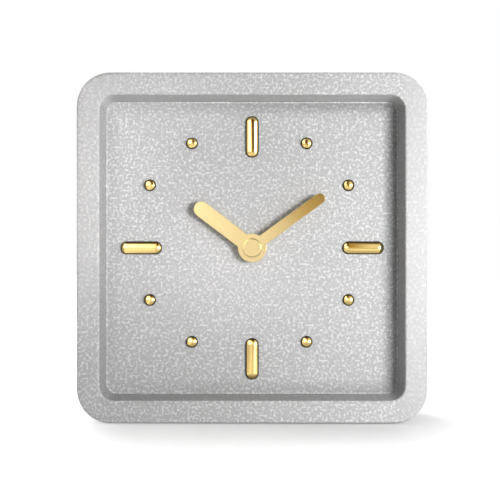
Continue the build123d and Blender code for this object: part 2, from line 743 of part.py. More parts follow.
def circuit_board():
    """Board in the upper corner of the movement."""
    outline = block(BOARD_LEFT, BOARD_RIGHT, BOARD_LOW, BOARD_HIGH)
    return layer(outline, BOARD_LEVEL, BOARD_LEVEL + BOARD_THICK)


def crystal_can():
    """Round can that lies on the board."""
    level = BOARD_LEVEL + BOARD_THICK + CAN_RADIUS
    start = (
        BOARD_LEFT + CAN_INSET,
        RIM_Y + MOVEMENT_FRONT + level,
        AXIS_UP + BOARD_HIGH - CAN_RADIUS - CAN_LENGTH,
    )
    return extrude(Plane(origin=start) * Circle(CAN_RADIUS), amount=CAN_LENGTH)


def chip_blob():
    """Drop of resin over the chip."""
    across = BOARD_LEFT + BLOB_INSET
    up = BOARD_LOW + BLOB_INSET
    foot = MOVEMENT_FRONT + BOARD_LEVEL + BOARD_THICK
    return dome(BLOB_RADIUS, BLOB_HEIGHT, (across, up), foot, 1)


def setting_knob():
    """Ridged knob on the rear end of the setting shaft."""
    front = MOVEMENT_DEPTH + KNOB_GAP
    back = front + KNOB_THICK
    step = 180 / KNOB_RIDGES
    points = []
    for number in range(2 * KNOB_RIDGES):
        radius = KNOB_RADIUS - KNOB_GROOVE * (number % 2)
        points.append(polar(SETTING_AT, radius, step * number))
    knob = layer(make_face(Polyline(*points, close=True)), front, back)
    knob = chamfer(knob.edges().group_by(Axis.Y)[-1], KNOB_EDGE)
    return knob - layer(disc(SETTING_SHAFT, SETTING_AT), front, front + KNOB_SOCKET)


def setting_shaft():
    """Shaft from the knob to the pinion that turns the motion wheel."""
    leaves_front = MOTION_LEVEL - PINION_LAP
    leaves_back = MOTION_LEVEL + GEAR_THICK + PINION_LAP
    knob_end = MOVEMENT_DEPTH + KNOB_GAP + KNOB_SOCKET
    leaves = toothed(SETTING_TEETH, MOTION_MODULE, SETTING_TURN, SETTING_AT)
    shaft = layer(leaves, leaves_front, leaves_back)
    shaft += layer(disc(SETTING_SHAFT, SETTING_AT), leaves_back, knob_end)
    return shaft + layer(disc(SETTING_PIVOT, SETTING_AT), MOVEMENT_WALL + RUN_GAP, leaves_front)


def post_places():
    """Centres of the posts under the train plate."""
    across = (PLATE_LEFT + POST_INSET, PLATE_RIGHT - POST_INSET)
    heights = (PLATE_LOW + POST_INSET, PLATE_HIGH - POST_INSET)
    return [(x, y) for x in across for y in heights]


def movement_box(wider, corner):
    """Outline round the whole movement."""
    middle = Pos(0, MOVEMENT_MIDDLE)
    return middle * RectangleRounded(MOVEMENT_WIDTH + wider, MOVEMENT_HEIGHT + wider, corner)


def lid_block():
    """Outline of the lid, from the bay's upper wall to the top."""
    half = MOVEMENT_WIDTH / 2
    return block(-half, half, BAY_TOP, MOVEMENT_HIGH)


def movement_case():
    """Tray with a train room above, a battery bay below and the posts that hold the works."""
    tray = layer(movement_box(0, MOVEMENT_CORNER), 0, MOVEMENT_DEPTH)
    tray -= layer(block(-BAY_SIDE, BAY_SIDE, TRAIN_FLOOR, TRAIN_TOP), MOVEMENT_WALL, MOVEMENT_DEPTH)
    tray -= layer(block(-BAY_SIDE, BAY_SIDE, BAY_FLOOR, BAY_TOP), MOVEMENT_WALL, MOVEMENT_DEPTH)
    tray -= layer(lid_block(), LID_LEVEL, MOVEMENT_DEPTH)
    tray -= layer(disc(BUSH_RADIUS), 0, MOVEMENT_WALL)
    for side in (-1, 1):
        near, far = sorted((side * (BAY_SIDE - STRIP - STRIP_FIT), side * BAY_SIDE))
        tray -= layer(block(near, far, BAY_TOP, TRAIN_FLOOR), SLOT_FRONT, LID_LEVEL)
    for place in post_places():
        tray += layer(disc(POST_RADIUS, place), MOVEMENT_WALL, PLATE_LEVEL)
    for place in (
        (BOARD_LEFT + PILLAR_INSET, BOARD_LOW + PILLAR_INSET),
        (BOARD_RIGHT - PILLAR_INSET, BOARD_HIGH - PILLAR_INSET),
    ):
        tray += layer(disc(PILLAR_RADIUS, place), MOVEMENT_WALL, BOARD_LEVEL)
    tray += layer(disc(STUD, MOTION_AT), MOVEMENT_WALL, MOTION_LEVEL + GEAR_THICK + PINION_LAP)
    boss = ring(SETTING_BOSS, SETTING_PIVOT + STUD_FIT, SETTING_AT)
    return tray + layer(boss, MOVEMENT_WALL, MOVEMENT_WALL + SETTING_BOSS_HEIGHT)


def movement_lid():
    """Lid over the train, with a bearing post behind each arbor."""
    lid = layer(lid_block(), LID_LEVEL, MOVEMENT_DEPTH)
    lid = fillet(lid.edges().filter_by(Axis.Y), LID_CORNER)
    for place in (CENTRE_AT, THIRD_AT, INTER_AT, ROTOR_AT):
        lid += layer(disc(BEARING_RADIUS, place), BEARING_LEVEL, LID_LEVEL)
        lid -= layer(disc(PIVOT_HOLE, place), BEARING_LEVEL, BEARING_LEVEL + BEARING_HOLE)
    return lid - layer(disc(SETTING_SHAFT + RUN_FIT, SETTING_AT), LID_LEVEL, MOVEMENT_DEPTH)


def train_plate():
    """Plate between the motion work and the train, with the front bearings."""
    across = PLATE_RIGHT - PLATE_LEFT
    rise = PLATE_HIGH - PLATE_LOW
    middle = Pos((PLATE_LEFT + PLATE_RIGHT) / 2, (PLATE_LOW + PLATE_HIGH) / 2)
    outline = middle * RectangleRounded(across, rise, PLATE_CORNER)
    outline -= disc(MINUTE_PIPE + RUN_FIT)
    for place in (THIRD_AT, INTER_AT, ROTOR_AT):
        outline -= disc(PIVOT_HOLE, place)
    return layer(outline, PLATE_LEVEL, PLATE_LEVEL + PLATE_THICK)


def battery_cell():
    """Plain AA cell lying across the bay."""
    can = rod_x(CELL_RADIUS, CELL_LEFT, CELL_RIGHT, CELL_UP, CELL_LEVEL)
    can = chamfer(can.edges().filter_by(GeomType.CIRCLE), CELL_EDGE)
    return can + rod_x(NUB_RADIUS, CELL_RIGHT, CELL_RIGHT + NUB_LENGTH, CELL_UP, CELL_LEVEL)


def contact_negative():
    """Bowed spring against the flat end, with a tail round to the board."""
    wall = -BAY_SIDE
    face = wall + STRIP
    plate = block(wall, face, CELL_UP - CONTACT_HALF, CELL_UP + CONTACT_HALF)
    body = layer(plate, CONTACT_FRONT, CONTACT_BACK)
    low, high = CELL_UP - SPRING_HALF, CELL_UP + SPRING_HALF
    bow = make_face(
        [
            ThreePointArc((face, low), (face + SPRING_RISE, CELL_UP), (face, high)),
            Line((face, high), (face, high - 2 * STRIP)),
            ThreePointArc(
                (face, high - 2 * STRIP), (face + SPRING_RISE - STRIP, CELL_UP), (face, low + 2 * STRIP)
            ),
            Line((face, low + 2 * STRIP), (face, low)),
        ]
    )
    body += layer(bow, SPRING_FRONT, SPRING_BACK)
    tail_back = BOARD_LEVEL + BOARD_THICK
    tail = block(wall, face, CELL_UP + CONTACT_HALF, TRAIN_TOP)
    body += layer(tail, TAIL_FRONT, TAIL_FRONT + STRIP * 5)
    run = block(wall, BOARD_LEFT + TAB_WIDTH, TRAIN_TOP - STRIP, TRAIN_TOP)
    body += layer(run, TAIL_FRONT, TAIL_FRONT + STRIP * 5)
    tab = block(BOARD_LEFT, BOARD_LEFT + TAB_WIDTH, TRAIN_TOP - STRIP, TRAIN_TOP)
    return body + layer(tab, TAIL_FRONT, tail_back)


def contact_positive():
    """Flat contact with a dimple for the nub, and a tail up to the board."""
    wall = BAY_SIDE
    face = wall - STRIP
    plate = block(face, wall, CELL_UP - CONTACT_HALF, CELL_UP + CONTACT_HALF)
    body = layer(plate, CONTACT_FRONT, CONTACT_BACK)
    body += rod_x(DIMPLE_RADIUS, face - DIMPLE_RISE, face, CELL_UP, CELL_LEVEL)
    tail = block(face, wall, CELL_UP + CONTACT_HALF, BOARD_LOW + TAB_WIDTH)
    return body + layer(tail, BOARD_LEVEL - BOARD_THICK, BOARD_LEVEL + BOARD_THICK)


def rear_cover():
    """Rear plate with a square well round the movement and four screw seats."""
    gap = 2 * COVER_GAP
    side = HOLLOW + 2 * COVER_REBATE - gap
    corner = HOLLOW_CORNER + COVER_REBATE - COVER_GAP
    back = COVER_FRONT + COVER_THICK
    well = 2 * WELL_ROOM
    wall = well + 2 * WELL_WALL
    cover = slab(square(side, corner), COVER_FRONT, back)
    foot = MOVEMENT_FRONT + MOVEMENT_DEPTH - WELL_LAP
    cover += slab(movement_box(wall, WELL_CORNER + WELL_WALL), foot, COVER_FRONT)
    cover -= slab(movement_box(well, WELL_CORNER), foot, back)
    for place in corner_places(BOSS_AT):
        cover -= slab(disc(SCREW_ROOM, place), COVER_FRONT, back)
        cover -= slab(disc(HEAD_RADIUS + HEAD_FIT, place), back - HEAD_THICK, back)
    return cover


def rear_cover_screws():
    """Four cross-head screws through the cover into the bosses."""
    back = COVER_FRONT + COVER_THICK
    seat = back - HEAD_THICK
    screws = []
    for place in corner_places(BOSS_AT):
        screw = slab(disc(HEAD_RADIUS, place), seat, back)
        screw += slab(disc(SCREW_RADIUS, place), seat - SCREW_LENGTH, seat)
        for width, height in ((DRIVE_WIDTH, DRIVE_SPAN), (DRIVE_SPAN, DRIVE_WIDTH)):
            screw -= slab(Pos(*place) * Rectangle(width, height), back - DRIVE_DEPTH, back)
        screws.append(screw.solid())
    return Compound(screws)


PIECES = {
    "housing": housing(),
    "foot_pads": foot_pads(),
    "dial_plate": dial_plate(),
    "dial_gasket": dial_gasket(),
    "dial_washer": dial_washer(),
    "hex_nut": hex_nut(),
    "centre_bush": centre_bush(),
    "hour_wheel": hour_wheel(),
    "hour_hand": hour_hand(),
    "minute_pipe": minute_pipe(),
    "minute_hand": minute_hand(),
    "hand_cap": hand_cap(),
    "motion_wheel": motion_wheel(),
    "centre_wheel": centre_wheel(),
    "third_wheel": third_wheel(),
    "second_wheel": second_wheel(),
    "intermediate_wheel": intermediate_wheel(),
    "rotor_pinion": rotor_pinion(),
    "rotor_magnet": rotor_magnet(),
    "stator": stator(),
    "coil_core": coil_core(),
    "coil_bobbin": coil_bobbin(),
    "coil_winding": coil_winding(),
    "circuit_board": circuit_board(),
    "crystal_can": crystal_can(),
    "chip_blob": chip_blob(),
    "train_plate": train_plate(),
    "movement_case": movement_case(),
    "movement_lid": movement_lid(),
    "setting_knob": setting_knob(),
    "setting_shaft": setting_shaft(),
    "contact_negative": contact_negative(),
    "contact_positive": contact_positive(),
    "battery_cell": battery_cell(),
    "rear_cover": rear_cover(),
    "rear_cover_screws": rear_cover_screws(),
}
for hour in BAR_HOURS:
    PIECES[f"hour_bar_{hour}"] = hour_bar(hour)
for hour in DOT_HOURS:
    PIECES[f"hour_dot_{hour}"] = hour_dot(hour)

os.makedirs("parts", exist_ok=True)
for name, shape in PIECES.items():
    export_step(shape, f"parts/{name}.step")
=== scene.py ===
# %% [markdown]
# # A square table clock
# This lesson dresses a packed clock: a flecked stone-grey case with a sunk dial, polished gold marks,
# satin hands and a quartz movement behind. The solids give every piece its place and most of its
# sizes, and the finishes and the light were tuned until the picture came near the photograph. Each
# step says what the piece is on the real clock and why it is made this way.

# %% Load the frame
from math import asin, cos, pi, radians, sin

import bmesh
import bpy
from mathutils import Matrix, Vector


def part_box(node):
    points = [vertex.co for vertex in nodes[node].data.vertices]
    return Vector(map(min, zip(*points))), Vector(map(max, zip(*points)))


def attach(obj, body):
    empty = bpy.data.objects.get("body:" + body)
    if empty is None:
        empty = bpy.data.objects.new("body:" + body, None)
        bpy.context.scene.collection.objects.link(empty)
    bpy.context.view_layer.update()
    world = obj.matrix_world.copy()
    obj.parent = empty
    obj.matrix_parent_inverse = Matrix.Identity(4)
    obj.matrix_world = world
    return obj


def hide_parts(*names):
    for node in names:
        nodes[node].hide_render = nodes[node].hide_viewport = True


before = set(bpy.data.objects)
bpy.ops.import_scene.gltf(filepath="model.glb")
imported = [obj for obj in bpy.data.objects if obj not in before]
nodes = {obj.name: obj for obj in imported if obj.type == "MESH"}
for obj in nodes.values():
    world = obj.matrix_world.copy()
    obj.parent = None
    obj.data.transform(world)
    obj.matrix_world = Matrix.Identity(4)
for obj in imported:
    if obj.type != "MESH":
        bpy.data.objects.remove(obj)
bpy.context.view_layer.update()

# %% [markdown]
# ## Where things are
# The frame is in metres: +X is right of someone facing the dial, +Y goes back and +Z is up. The case
# stands on pads, so the hand axis is found from the case, and depths are counted back from its rim.

# %% Axis, rim and dial
MM = 0.001
case_low, case_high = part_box("housing")
RIM = case_low.y
REAR = case_high.y
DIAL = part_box("dial_plate")[0].y
AXIS_UP = (case_low.z + case_high.z) / 2
CASE_HALF = (case_high.x - case_low.x) / 2
print(f"rim {RIM:.4f}, dial {DIAL:.4f}, rear {REAR:.4f}, axis up {AXIS_UP:.4f}")

# %% [markdown]
# ## Helpers for making meshes
# Each piece starts as a bmesh, is shaped by operators and then becomes an object that sits at the
# origin with its place in its mesh. Faces are shaded smooth, and edges that turn sharply stay crisp.

# %% From a bmesh to a piece
MERGE = 0.002 * MM
CRISP = radians(35)


def object_from(mesh, name, material):
    """Turns a bmesh into an object that sits at the origin."""
    data = bpy.data.meshes.new(name)
    mesh.to_mesh(data)
    mesh.free()
    data.materials.append(material)
    made = bpy.data.objects.new(name, data)
    bpy.context.scene.collection.objects.link(made)
    return made


def piece_from(mesh, name, body, slot, material, *stands_for):
    """Merges a bmesh into a piece that rides on a body and stands for some solids."""
    bmesh.ops.remove_doubles(mesh, verts=mesh.verts, dist=MERGE)
    bmesh.ops.recalc_face_normals(mesh, faces=mesh.faces)
    for face in mesh.faces:
        face.smooth = True
    for edge in mesh.edges:
        edge.smooth = edge.is_manifold and edge.calc_face_angle(0.0) < CRISP
    made = object_from(mesh, name, material)
    even = made.modifiers.new("even_shading", "WEIGHTED_NORMAL")
    even.keep_sharp = True
    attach(made, body)
    if stands_for:
        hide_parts(*stands_for)
    print(f"{name}: {len(made.data.polygons)} faces on {body}")


print("helpers:", object_from.__name__, piece_from.__name__)

# %% [markdown]
# ## Helpers for making finishes
# A finish is a node tree. Written as Python sums it reads like a recipe: one small class holds a
# socket, and a plus or a times sign between two of them adds a Math node.

# %% A socket that can be added and multiplied
class Wire:
    """One output socket. A sum of wires adds Math nodes to their tree."""

    def __init__(self, tree, socket=None):
        self.tree = tree
        self.socket = socket

    def node(self, kind, settings=None, inputs=None, output=0):
        """Adds a node: its settings first, then the values or links of its sockets."""
        added = self.tree.nodes.new(kind)
        for name, value in (settings or {}).items():
            setattr(added, name, value)
        for name, value in (inputs or {}).items():
            if isinstance(value, Wire):
                self.tree.links.new(value.socket, added.inputs[name])
            else:
                added.inputs[name].default_value = value
        return Wire(self.tree, added.outputs[output])

    def into(self, socket):
        """Links this wire to a shader's socket."""
        self.tree.links.new(self.socket, socket)

    def sum(self, operation, first, second):
        """Adds a Math node for two values."""
        return self.node("ShaderNodeMath", {"operation": operation}, {0: first, 1: second})

    def __add__(self, other):
        return self.sum("ADD", self, other)

    def __radd__(self, other):
        return self.sum("ADD", other, self)

    def __sub__(self, other):
        return self.sum("SUBTRACT", self, other)

    def __rsub__(self, other):
        return self.sum("SUBTRACT", other, self)

    def __mul__(self, other):
        return self.sum("MULTIPLY", self, other)

    def __rmul__(self, other):
        return self.sum("MULTIPLY", other, self)

    def most(self, other):
        """The larger of two values."""
        return self.sum("MAXIMUM", self, other)

    def size(self):
        """A value without its sign."""
        return self.node("ShaderNodeMath", {"operation": "ABSOLUTE"}, {0: self})

    def part(self, axis):
        """One of the three numbers of a vector."""
        return self.node("ShaderNodeSeparateXYZ", None, {0: self}, axis)


print("helper:", Wire.__name__)

# %% Steps that several finishes share
# A Mix node has sockets for numbers, vectors and colours. These are the places of its factor, its two
# colours and the colour that comes out.
MIX_FACTOR = 0
MIX_LOW = 6
MIX_HIGH = 7
MIX_RESULT = 2


def start(name):
    """A new material: the material, its shader and a wire with Object coordinates."""
    material = bpy.data.materials.new(name)
    material.use_nodes = True
    shader = material.node_tree.nodes["Principled BSDF"]
    place = Wire(material.node_tree).node("ShaderNodeTexCoord", output="Object")
    print("finish:", name)
    return material, shader, place


def noise(place, per_metre, detail=2.0):
    """Smooth noise with so many bumps to a metre."""
    sockets = {"Vector": place, "Scale": per_metre, "Detail": detail}
    return place.node("ShaderNodeTexNoise", None, sockets)


def ease(wire, low, high):
    """Rises smoothly from 0 at low to 1 at high."""
    sockets = {"Value": wire, "From Min": low, "From Max": high}
    return wire.node("ShaderNodeMapRange", {"interpolation_type": "SMOOTHSTEP"}, sockets)


def fall(wire, low, high):
    """Falls smoothly from 1 at low to 0 at high."""
    return 1.0 - ease(wire, low, high)


def part_way(factor, low, high):
    """Goes from one number to another by a factor."""
    return low + (high - low) * factor


def blend(factor, low, high):
    """Mixes two colours by a factor."""
    sockets = {MIX_FACTOR: factor, MIX_LOW: low, MIX_HIGH: high}
    return factor.node("ShaderNodeMix", {"data_type": "RGBA"}, sockets, MIX_RESULT)


def grey(level):
    """An opaque grey of this level."""
    return (level, level, level, 1.0)


def raised(height, depth, strength):
    """A normal from a height, with the depth of the relief in metres."""
    sockets = {"Height": height, "Distance": depth, "Strength": strength}
    return height.node("ShaderNodeBump", None, sockets)


print("helpers:", [step.__name__ for step in (start, noise, ease, fall, part_way, blend, grey, raised)])

# %% [markdown]
# ## Flecked stone
# The case and the dial are cast in one grey with short pale flecks, like fibres in a stone paste.
# A flat speckle would look like dust. Here thin lines follow the middle level of one noise, and a
# second noise cuts them into short worms, so the flecks curl as the real ones do.

# %% The flecks
NOISE_MIDDLE = 0.5
WORMS_PER_METRE = 700.0
WORM_WIDTH = 0.125
WORM_CUTS_PER_METRE = 1000.0
WORM_CUT = (0.45, 0.65)
SPOTS_PER_METRE = 900.0
SPOT_CUT = (0.55, 0.74)


def pale_flecks(place):
    """1 on the curled flecks and a few spots, 0 between them."""
    line = fall((noise(place, WORMS_PER_METRE, 0.0) - NOISE_MIDDLE).size(), 0.0, WORM_WIDTH)
    worm = line * ease(noise(place, WORM_CUTS_PER_METRE, 0.0), *WORM_CUT)
    spot = ease(noise(place, SPOTS_PER_METRE, 0.0), *SPOT_CUT)
    return worm.most(spot)


print("noise bumps to a metre:", WORMS_PER_METRE, "for flecks and", SPOTS_PER_METRE, "for spots")

# %% [markdown]
# ## Soft shade in the stone
# In the photograph the recess walls, the edge of the dial and the seats of the marks are darker, and
# the flecks are fainter on parts of the rim. Here that is painted light: painted shade on the walls, the
# dial's edge and the seats, less of it on the top wall, and a painted highlight on parts of the rim that
# fades the flecks. More lamps could give some of this, but they would light the rest too. So each place
# has a mask, a number from 0 to 1 that is worked out from Object coordinates, and the finish is toned
# by it. That painted light and shade stays where it is in every view.

# %% Masks for the recess walls
WINDOW_REACH = CASE_HALF - 11.8 * MM
WALL_FOOT = DIAL - 0.78 * MM
WALL_STARTS = (RIM + 0.7 * MM, RIM + 1.2 * MM)
WALL_ENDS = (WALL_FOOT, WALL_FOOT + 0.2 * MM)
WALL_FADES = (CASE_HALF - 7.0 * MM, CASE_HALF - 6.0 * MM)
FOOT_STARTS = (WALL_FOOT - 1.2 * MM, WALL_FOOT - 0.2 * MM)
FOOT_LEFT = (1.0 * MM - WINDOW_REACH, 4.0 * MM - WINDOW_REACH)
HIGH_WALL = (AXIS_UP + WINDOW_REACH - 3.0 * MM, AXIS_UP + WINDOW_REACH)


def from_axis(place):
    """How far a point lies from the hand axis, along X or Z, whichever is more."""
    return place.part("X").size().most((place.part("Z") - AXIS_UP).size())


def recess_wall(place):
    """1 on the walls of the recess, where the stone gets painted shade, 0 on the rim, the dial and the
    outside.
    """
    deep = place.part("Y")
    return ease(deep, *WALL_STARTS) * fall(deep, *WALL_ENDS) * fall(from_axis(place), *WALL_FADES)


def wall_foot(place):
    """1 where a wall meets the ledge, for a darker line of painted shade, apart from the left wall, which
    faces the light.
    """
    return ease(place.part("Y"), *FOOT_STARTS) * ease(place.part("X"), *FOOT_LEFT)


print(f"recess walls from {WALL_STARTS[0]:.4f} to {WALL_ENDS[1]:.4f}")

# %% A mask for the edge of the dial
DIAL_STARTS = (DIAL - 0.4 * MM, DIAL - 0.1 * MM)
DIAL_FADES = (WINDOW_REACH + 1.0 * MM, WINDOW_REACH + 2.0 * MM)
EDGE_REACH = 7.2 * MM
LEFT_EDGE = 0.50
RIGHT_EDGE = 1.30
LOW_EDGE = 0.70
MIDDLE_EDGE = 0.08


def dial_edge_shade(place):
    """Painted shade on the dial: strong close to the recess walls, most on the right, and faint in its
    middle.
    """
    inside = ease(place.part("Y"), *DIAL_STARTS) * fall(from_axis(place), *DIAL_FADES)
    high = ease(place.part("Z"), AXIS_UP - WINDOW_REACH, AXIS_UP)
    across = ease(place.part("X"), -WINDOW_REACH, WINDOW_REACH)
    inside = inside * part_way(high, LOW_EDGE, 1.0) * part_way(across, LEFT_EDGE, RIGHT_EDGE)
    near = ease(from_axis(place), WINDOW_REACH - EDGE_REACH, WINDOW_REACH)
    return inside * part_way(near, MIDDLE_EDGE, 1.0)


print(f"dial edge shaded over {EDGE_REACH:.4f}")

# %% Masks for the seats of the marks and for the rim
SEAT_STARTS = (DIAL + 0.05 * MM, DIAL + 0.20 * MM)
SEAT_FADES = (WINDOW_REACH - 1.0 * MM, WINDOW_REACH)
FRONT_ENDS = (RIM + 0.3 * MM, RIM + 0.8 * MM)
HIGHLIGHT_RIGHT = (CASE_HALF - 12.0 * MM, CASE_HALF - 8.0 * MM)
HIGHLIGHT_LEFT = (12.0 * MM - CASE_HALF, 40.0 * MM - CASE_HALF)
HIGHLIGHT_HIGH = (AXIS_UP - 45.0 * MM, AXIS_UP - 15.0 * MM)
LEFT_SHARE = 0.6


def mark_seat(place):
    """1 in the pockets that the marks sit in, painted nearly black as shade, a dark line round each mark.
    """
    return ease(place.part("Y"), *SEAT_STARTS) * fall(from_axis(place), *SEAT_FADES)


def rim_highlight(place):
    """A painted highlight: 1 on the front of the rim's right side, where flecks are faintest, and less
    high on its left.
    """
    front = fall(place.part("Y"), *FRONT_ENDS)
    right = ease(place.part("X"), *HIGHLIGHT_RIGHT)
    left = fall(place.part("X"), *HIGHLIGHT_LEFT) * ease(place.part("Z"), *HIGHLIGHT_HIGH)
    return front * right.most(LEFT_SHARE * left)


print(f"calm rim right of {HIGHLIGHT_RIGHT[0]:.4f} and left of {HIGHLIGHT_LEFT[1]:.4f}")

# %% The flecked finish
GROUND = 0.565
FLECK = 0.835
MOTTLE = 0.13
# The ground's clouds, each as its share, its bumps to a metre and its detail.
CLOUDS = ((0.15, 45.0, 2.0), (0.15, 260.0, 2.0), (0.7, 900.0, 1.0))
# Painted shade on the recess walls, with less of it on the top wall.
WALL_SHADE = 0.60
HIGH_WALL_SHADE = 0.88
# Painted shade in the corner where each wall meets the ledge.
FOOT_SHADE = WALL_SHADE / 2
FOOT_SHADE_SHARE = 0.40
# Painted shade: the seats of the marks are nearly black.
SEAT_SHADE = 0.015
# Painted shade: how far the dial darkens towards black at its edges.
EDGE_SHADE = 0.36
# Painted highlight: the flecks fade and the grey turns paler where the rim is brightest.
HIGHLIGHT_HIDES = 0.65
HIGHLIGHT_PALE = 0.14
WALL_HIDES = 0.75
STONE_GRAIN = 3200.0
STONE_ROUGH = 0.62
GRAIN_ROUGH = 0.12
FLECK_SMOOTH = 0.10
FLECK_HIGH = 0.6
GRAIN_HIGH = 0.4
STONE_RELIEF = 0.02 * MM
STONE_BUMP = 0.6
STONE_SHINE = 0.35


def stone_ground(place, wall, seat, highlight):
    """The grey between the flecks: mottled, paler under the painted highlight, darker with painted shade.
    """
    wide, middling, fine = (share * noise(place, scale, detail) for share, scale, detail in CLOUDS)
    ground = blend(wide + middling + fine, grey(GROUND - MOTTLE), grey(GROUND + MOTTLE))
    ground = blend(HIGHLIGHT_PALE * highlight, ground, grey(FLECK))
    high = ease(place.part("Z"), *HIGH_WALL)
    wall_shade_grey = blend(high, grey(GROUND * WALL_SHADE), grey(GROUND * HIGH_WALL_SHADE))
    wall_shade_grey = blend(FOOT_SHADE_SHARE * wall_foot(place), wall_shade_grey, grey(GROUND * FOOT_SHADE))
    return blend(seat, blend(wall, ground, wall_shade_grey), grey(SEAT_SHADE))


def flecked_stone():
    """Grey with pale flecks, toned by the painted light and shade of the masks, and a fine grain."""
    material, shader, place = start("flecked_stone")
    wall = recess_wall(place)
    seat = mark_seat(place)
    highlight = rim_highlight(place)
    fleck = pale_flecks(place) * (1.0 - WALL_HIDES * wall) * (1.0 - seat) * (1.0 - HIGHLIGHT_HIDES * highlight)
    flecked = blend(fleck, stone_ground(place, wall, seat, highlight), grey(FLECK))
    # Painted shade: the dial darkens towards its edges.
    blend(EDGE_SHADE * dial_edge_shade(place), flecked, grey(0.0)).into(shader.inputs["Base Color"])
    grain = noise(place, STONE_GRAIN)
    (STONE_ROUGH + GRAIN_ROUGH * grain - FLECK_SMOOTH * fleck).into(shader.inputs["Roughness"])
    relief = FLECK_HIGH * fleck + GRAIN_HIGH * grain
    raised(relief, STONE_RELIEF, STONE_BUMP).into(shader.inputs["Normal"])
    shader.inputs["Specular IOR Level"].default_value = STONE_SHINE
    return material


stone = flecked_stone()

# %% [markdown]
# ## Gold
# The marks are polished and the hands are satin. Both are warm metals: the satin one is a little
# greyer and rougher, with a fine grain. The polished one is painted dark at its foot, a painted shade
# for the dark line that each mark has in the photograph where it meets the stone.

# %% Polished gold
GOLD = (0.98, 0.73, 0.29, 1.0)
GOLD_DEEP = (0.95, 0.68, 0.25, 1.0)
GOLD_CLOUD = 700.0
GOLD_FOOT_SHADE = (0.050, 0.026, 0.008, 1.0)
FOOT_HIGH = 1.22 * MM
FOOT_BLUR = 0.25 * MM
GOLD_GRAIN = 2600.0
GOLD_ROUGH = (0.10, 0.15)
FINE_DETAIL = 3.0


def polished_gold():
    material, shader, place = start("polished_gold")
    shader.inputs["Metallic"].default_value = 1.0
    # Painted shade: the part of each mark within about a millimetre of the dial turns dark brown.
    foot = ease(place.part("Y"), DIAL - FOOT_HIGH, DIAL - FOOT_HIGH + FOOT_BLUR)
    metal = blend(noise(place, GOLD_CLOUD), GOLD_DEEP, GOLD)
    blend(foot, metal, GOLD_FOOT_SHADE).into(shader.inputs["Base Color"])
    part_way(noise(place, GOLD_GRAIN, FINE_DETAIL), *GOLD_ROUGH).into(shader.inputs["Roughness"])
    return material


bright_gold = polished_gold()

# %% Satin gold
SATIN = (0.87, 0.69, 0.35, 1.0)
SATIN_DEEP = (0.84, 0.65, 0.315, 1.0)
SATIN_CLOUD = 260.0
SATIN_GRAIN = 5200.0
SATIN_ROUGH = (0.19, 0.27)
SATIN_RELIEF = 0.004 * MM
SATIN_BUMP = 0.5


def satin_gold():
    material, shader, place = start("satin_gold")
    shader.inputs["Metallic"].default_value = 1.0
    blend(noise(place, SATIN_CLOUD), SATIN_DEEP, SATIN).into(shader.inputs["Base Color"])
    grain = noise(place, SATIN_GRAIN, FINE_DETAIL)
    part_way(grain, *SATIN_ROUGH).into(shader.inputs["Roughness"])
    raised(grain, SATIN_RELIEF, SATIN_BUMP).into(shader.inputs["Normal"])
    return material


soft_gold = satin_gold()

# %% [markdown]
# ## The case
# The case is one casting: a square shell with rounded corners, a flat rim and a recess whose walls
# lean in to a small ledge round the dial. It could be a cube cut by Boolean modifiers, but a drawn
# section is cleaner: one outline, a square with bevelled corners, is extruded again and again, each
# time to the next size and depth, and the edges that show are bevelled last.

# %% Draw an outline through a row of sections
CORNER_STEPS = 14
UPRIGHT = Matrix.Rotation(pi / 2, 4, "X")


def only(kind, items):
    """The points, edges or faces among the items that an operator gives back."""
    return [item for item in items if isinstance(item, kind)]


def outline(mesh, half, corner, depth):
    """Adds a rounded square round the hand axis at a depth and returns its edges."""
    square = bmesh.ops.create_grid(mesh, x_segments=1, y_segments=1, size=half)["verts"]
    bmesh.ops.bevel(
        mesh, geom=square, offset=corner, affect="VERTICES",
        segments=CORNER_STEPS, profile=0.5, material=-1,
    )
    bmesh.ops.delete(mesh, geom=mesh.faces[:], context="FACES_ONLY")
    stand = Matrix.Translation((0, depth, AXIS_UP)) @ UPRIGHT
    bmesh.ops.transform(mesh, matrix=stand, verts=mesh.verts)
    return mesh.edges[:]


def reshape(mesh, points, old, new):
    """Moves and scales each corner of an outline from one section to the next."""
    for across in (-1, 1):
        for up in (-1, 1):
            quarter = [
                point for point in points if point.co.x * across > 0 and (point.co.z - AXIS_UP) * up > 0
            ]
            centres = []
            for half, corner, depth in (old, new):
                reach = half - corner
                centres.append(Vector((across * reach, depth, AXIS_UP + up * reach)))
            grow = Matrix.Scale(new[1] / old[1], 4)
            move = Matrix.Translation(centres[1]) @ grow @ Matrix.Translation(-centres[0])
            bmesh.ops.transform(mesh, matrix=move, verts=quarter)


def drawn_ring(mesh, sections):
    """Draws an outline through each section and back to the first; returns the loops of edges."""
    rows = [(half * MM, corner * MM, RIM + depth * MM) for half, corner, depth in sections]
    loops = [outline(mesh, *rows[0])]
    for old, new in zip(rows, rows[1:] + rows[:1]):
        drawn = bmesh.ops.extrude_edge_only(mesh, edges=loops[-1])["geom"]
        reshape(mesh, only(bmesh.types.BMVert, drawn), old, new)
        loops.append(only(bmesh.types.BMEdge, drawn))
    bmesh.ops.remove_doubles(mesh, verts=mesh.verts, dist=MERGE)
    return loops


print("steps round each corner:", CORNER_STEPS)

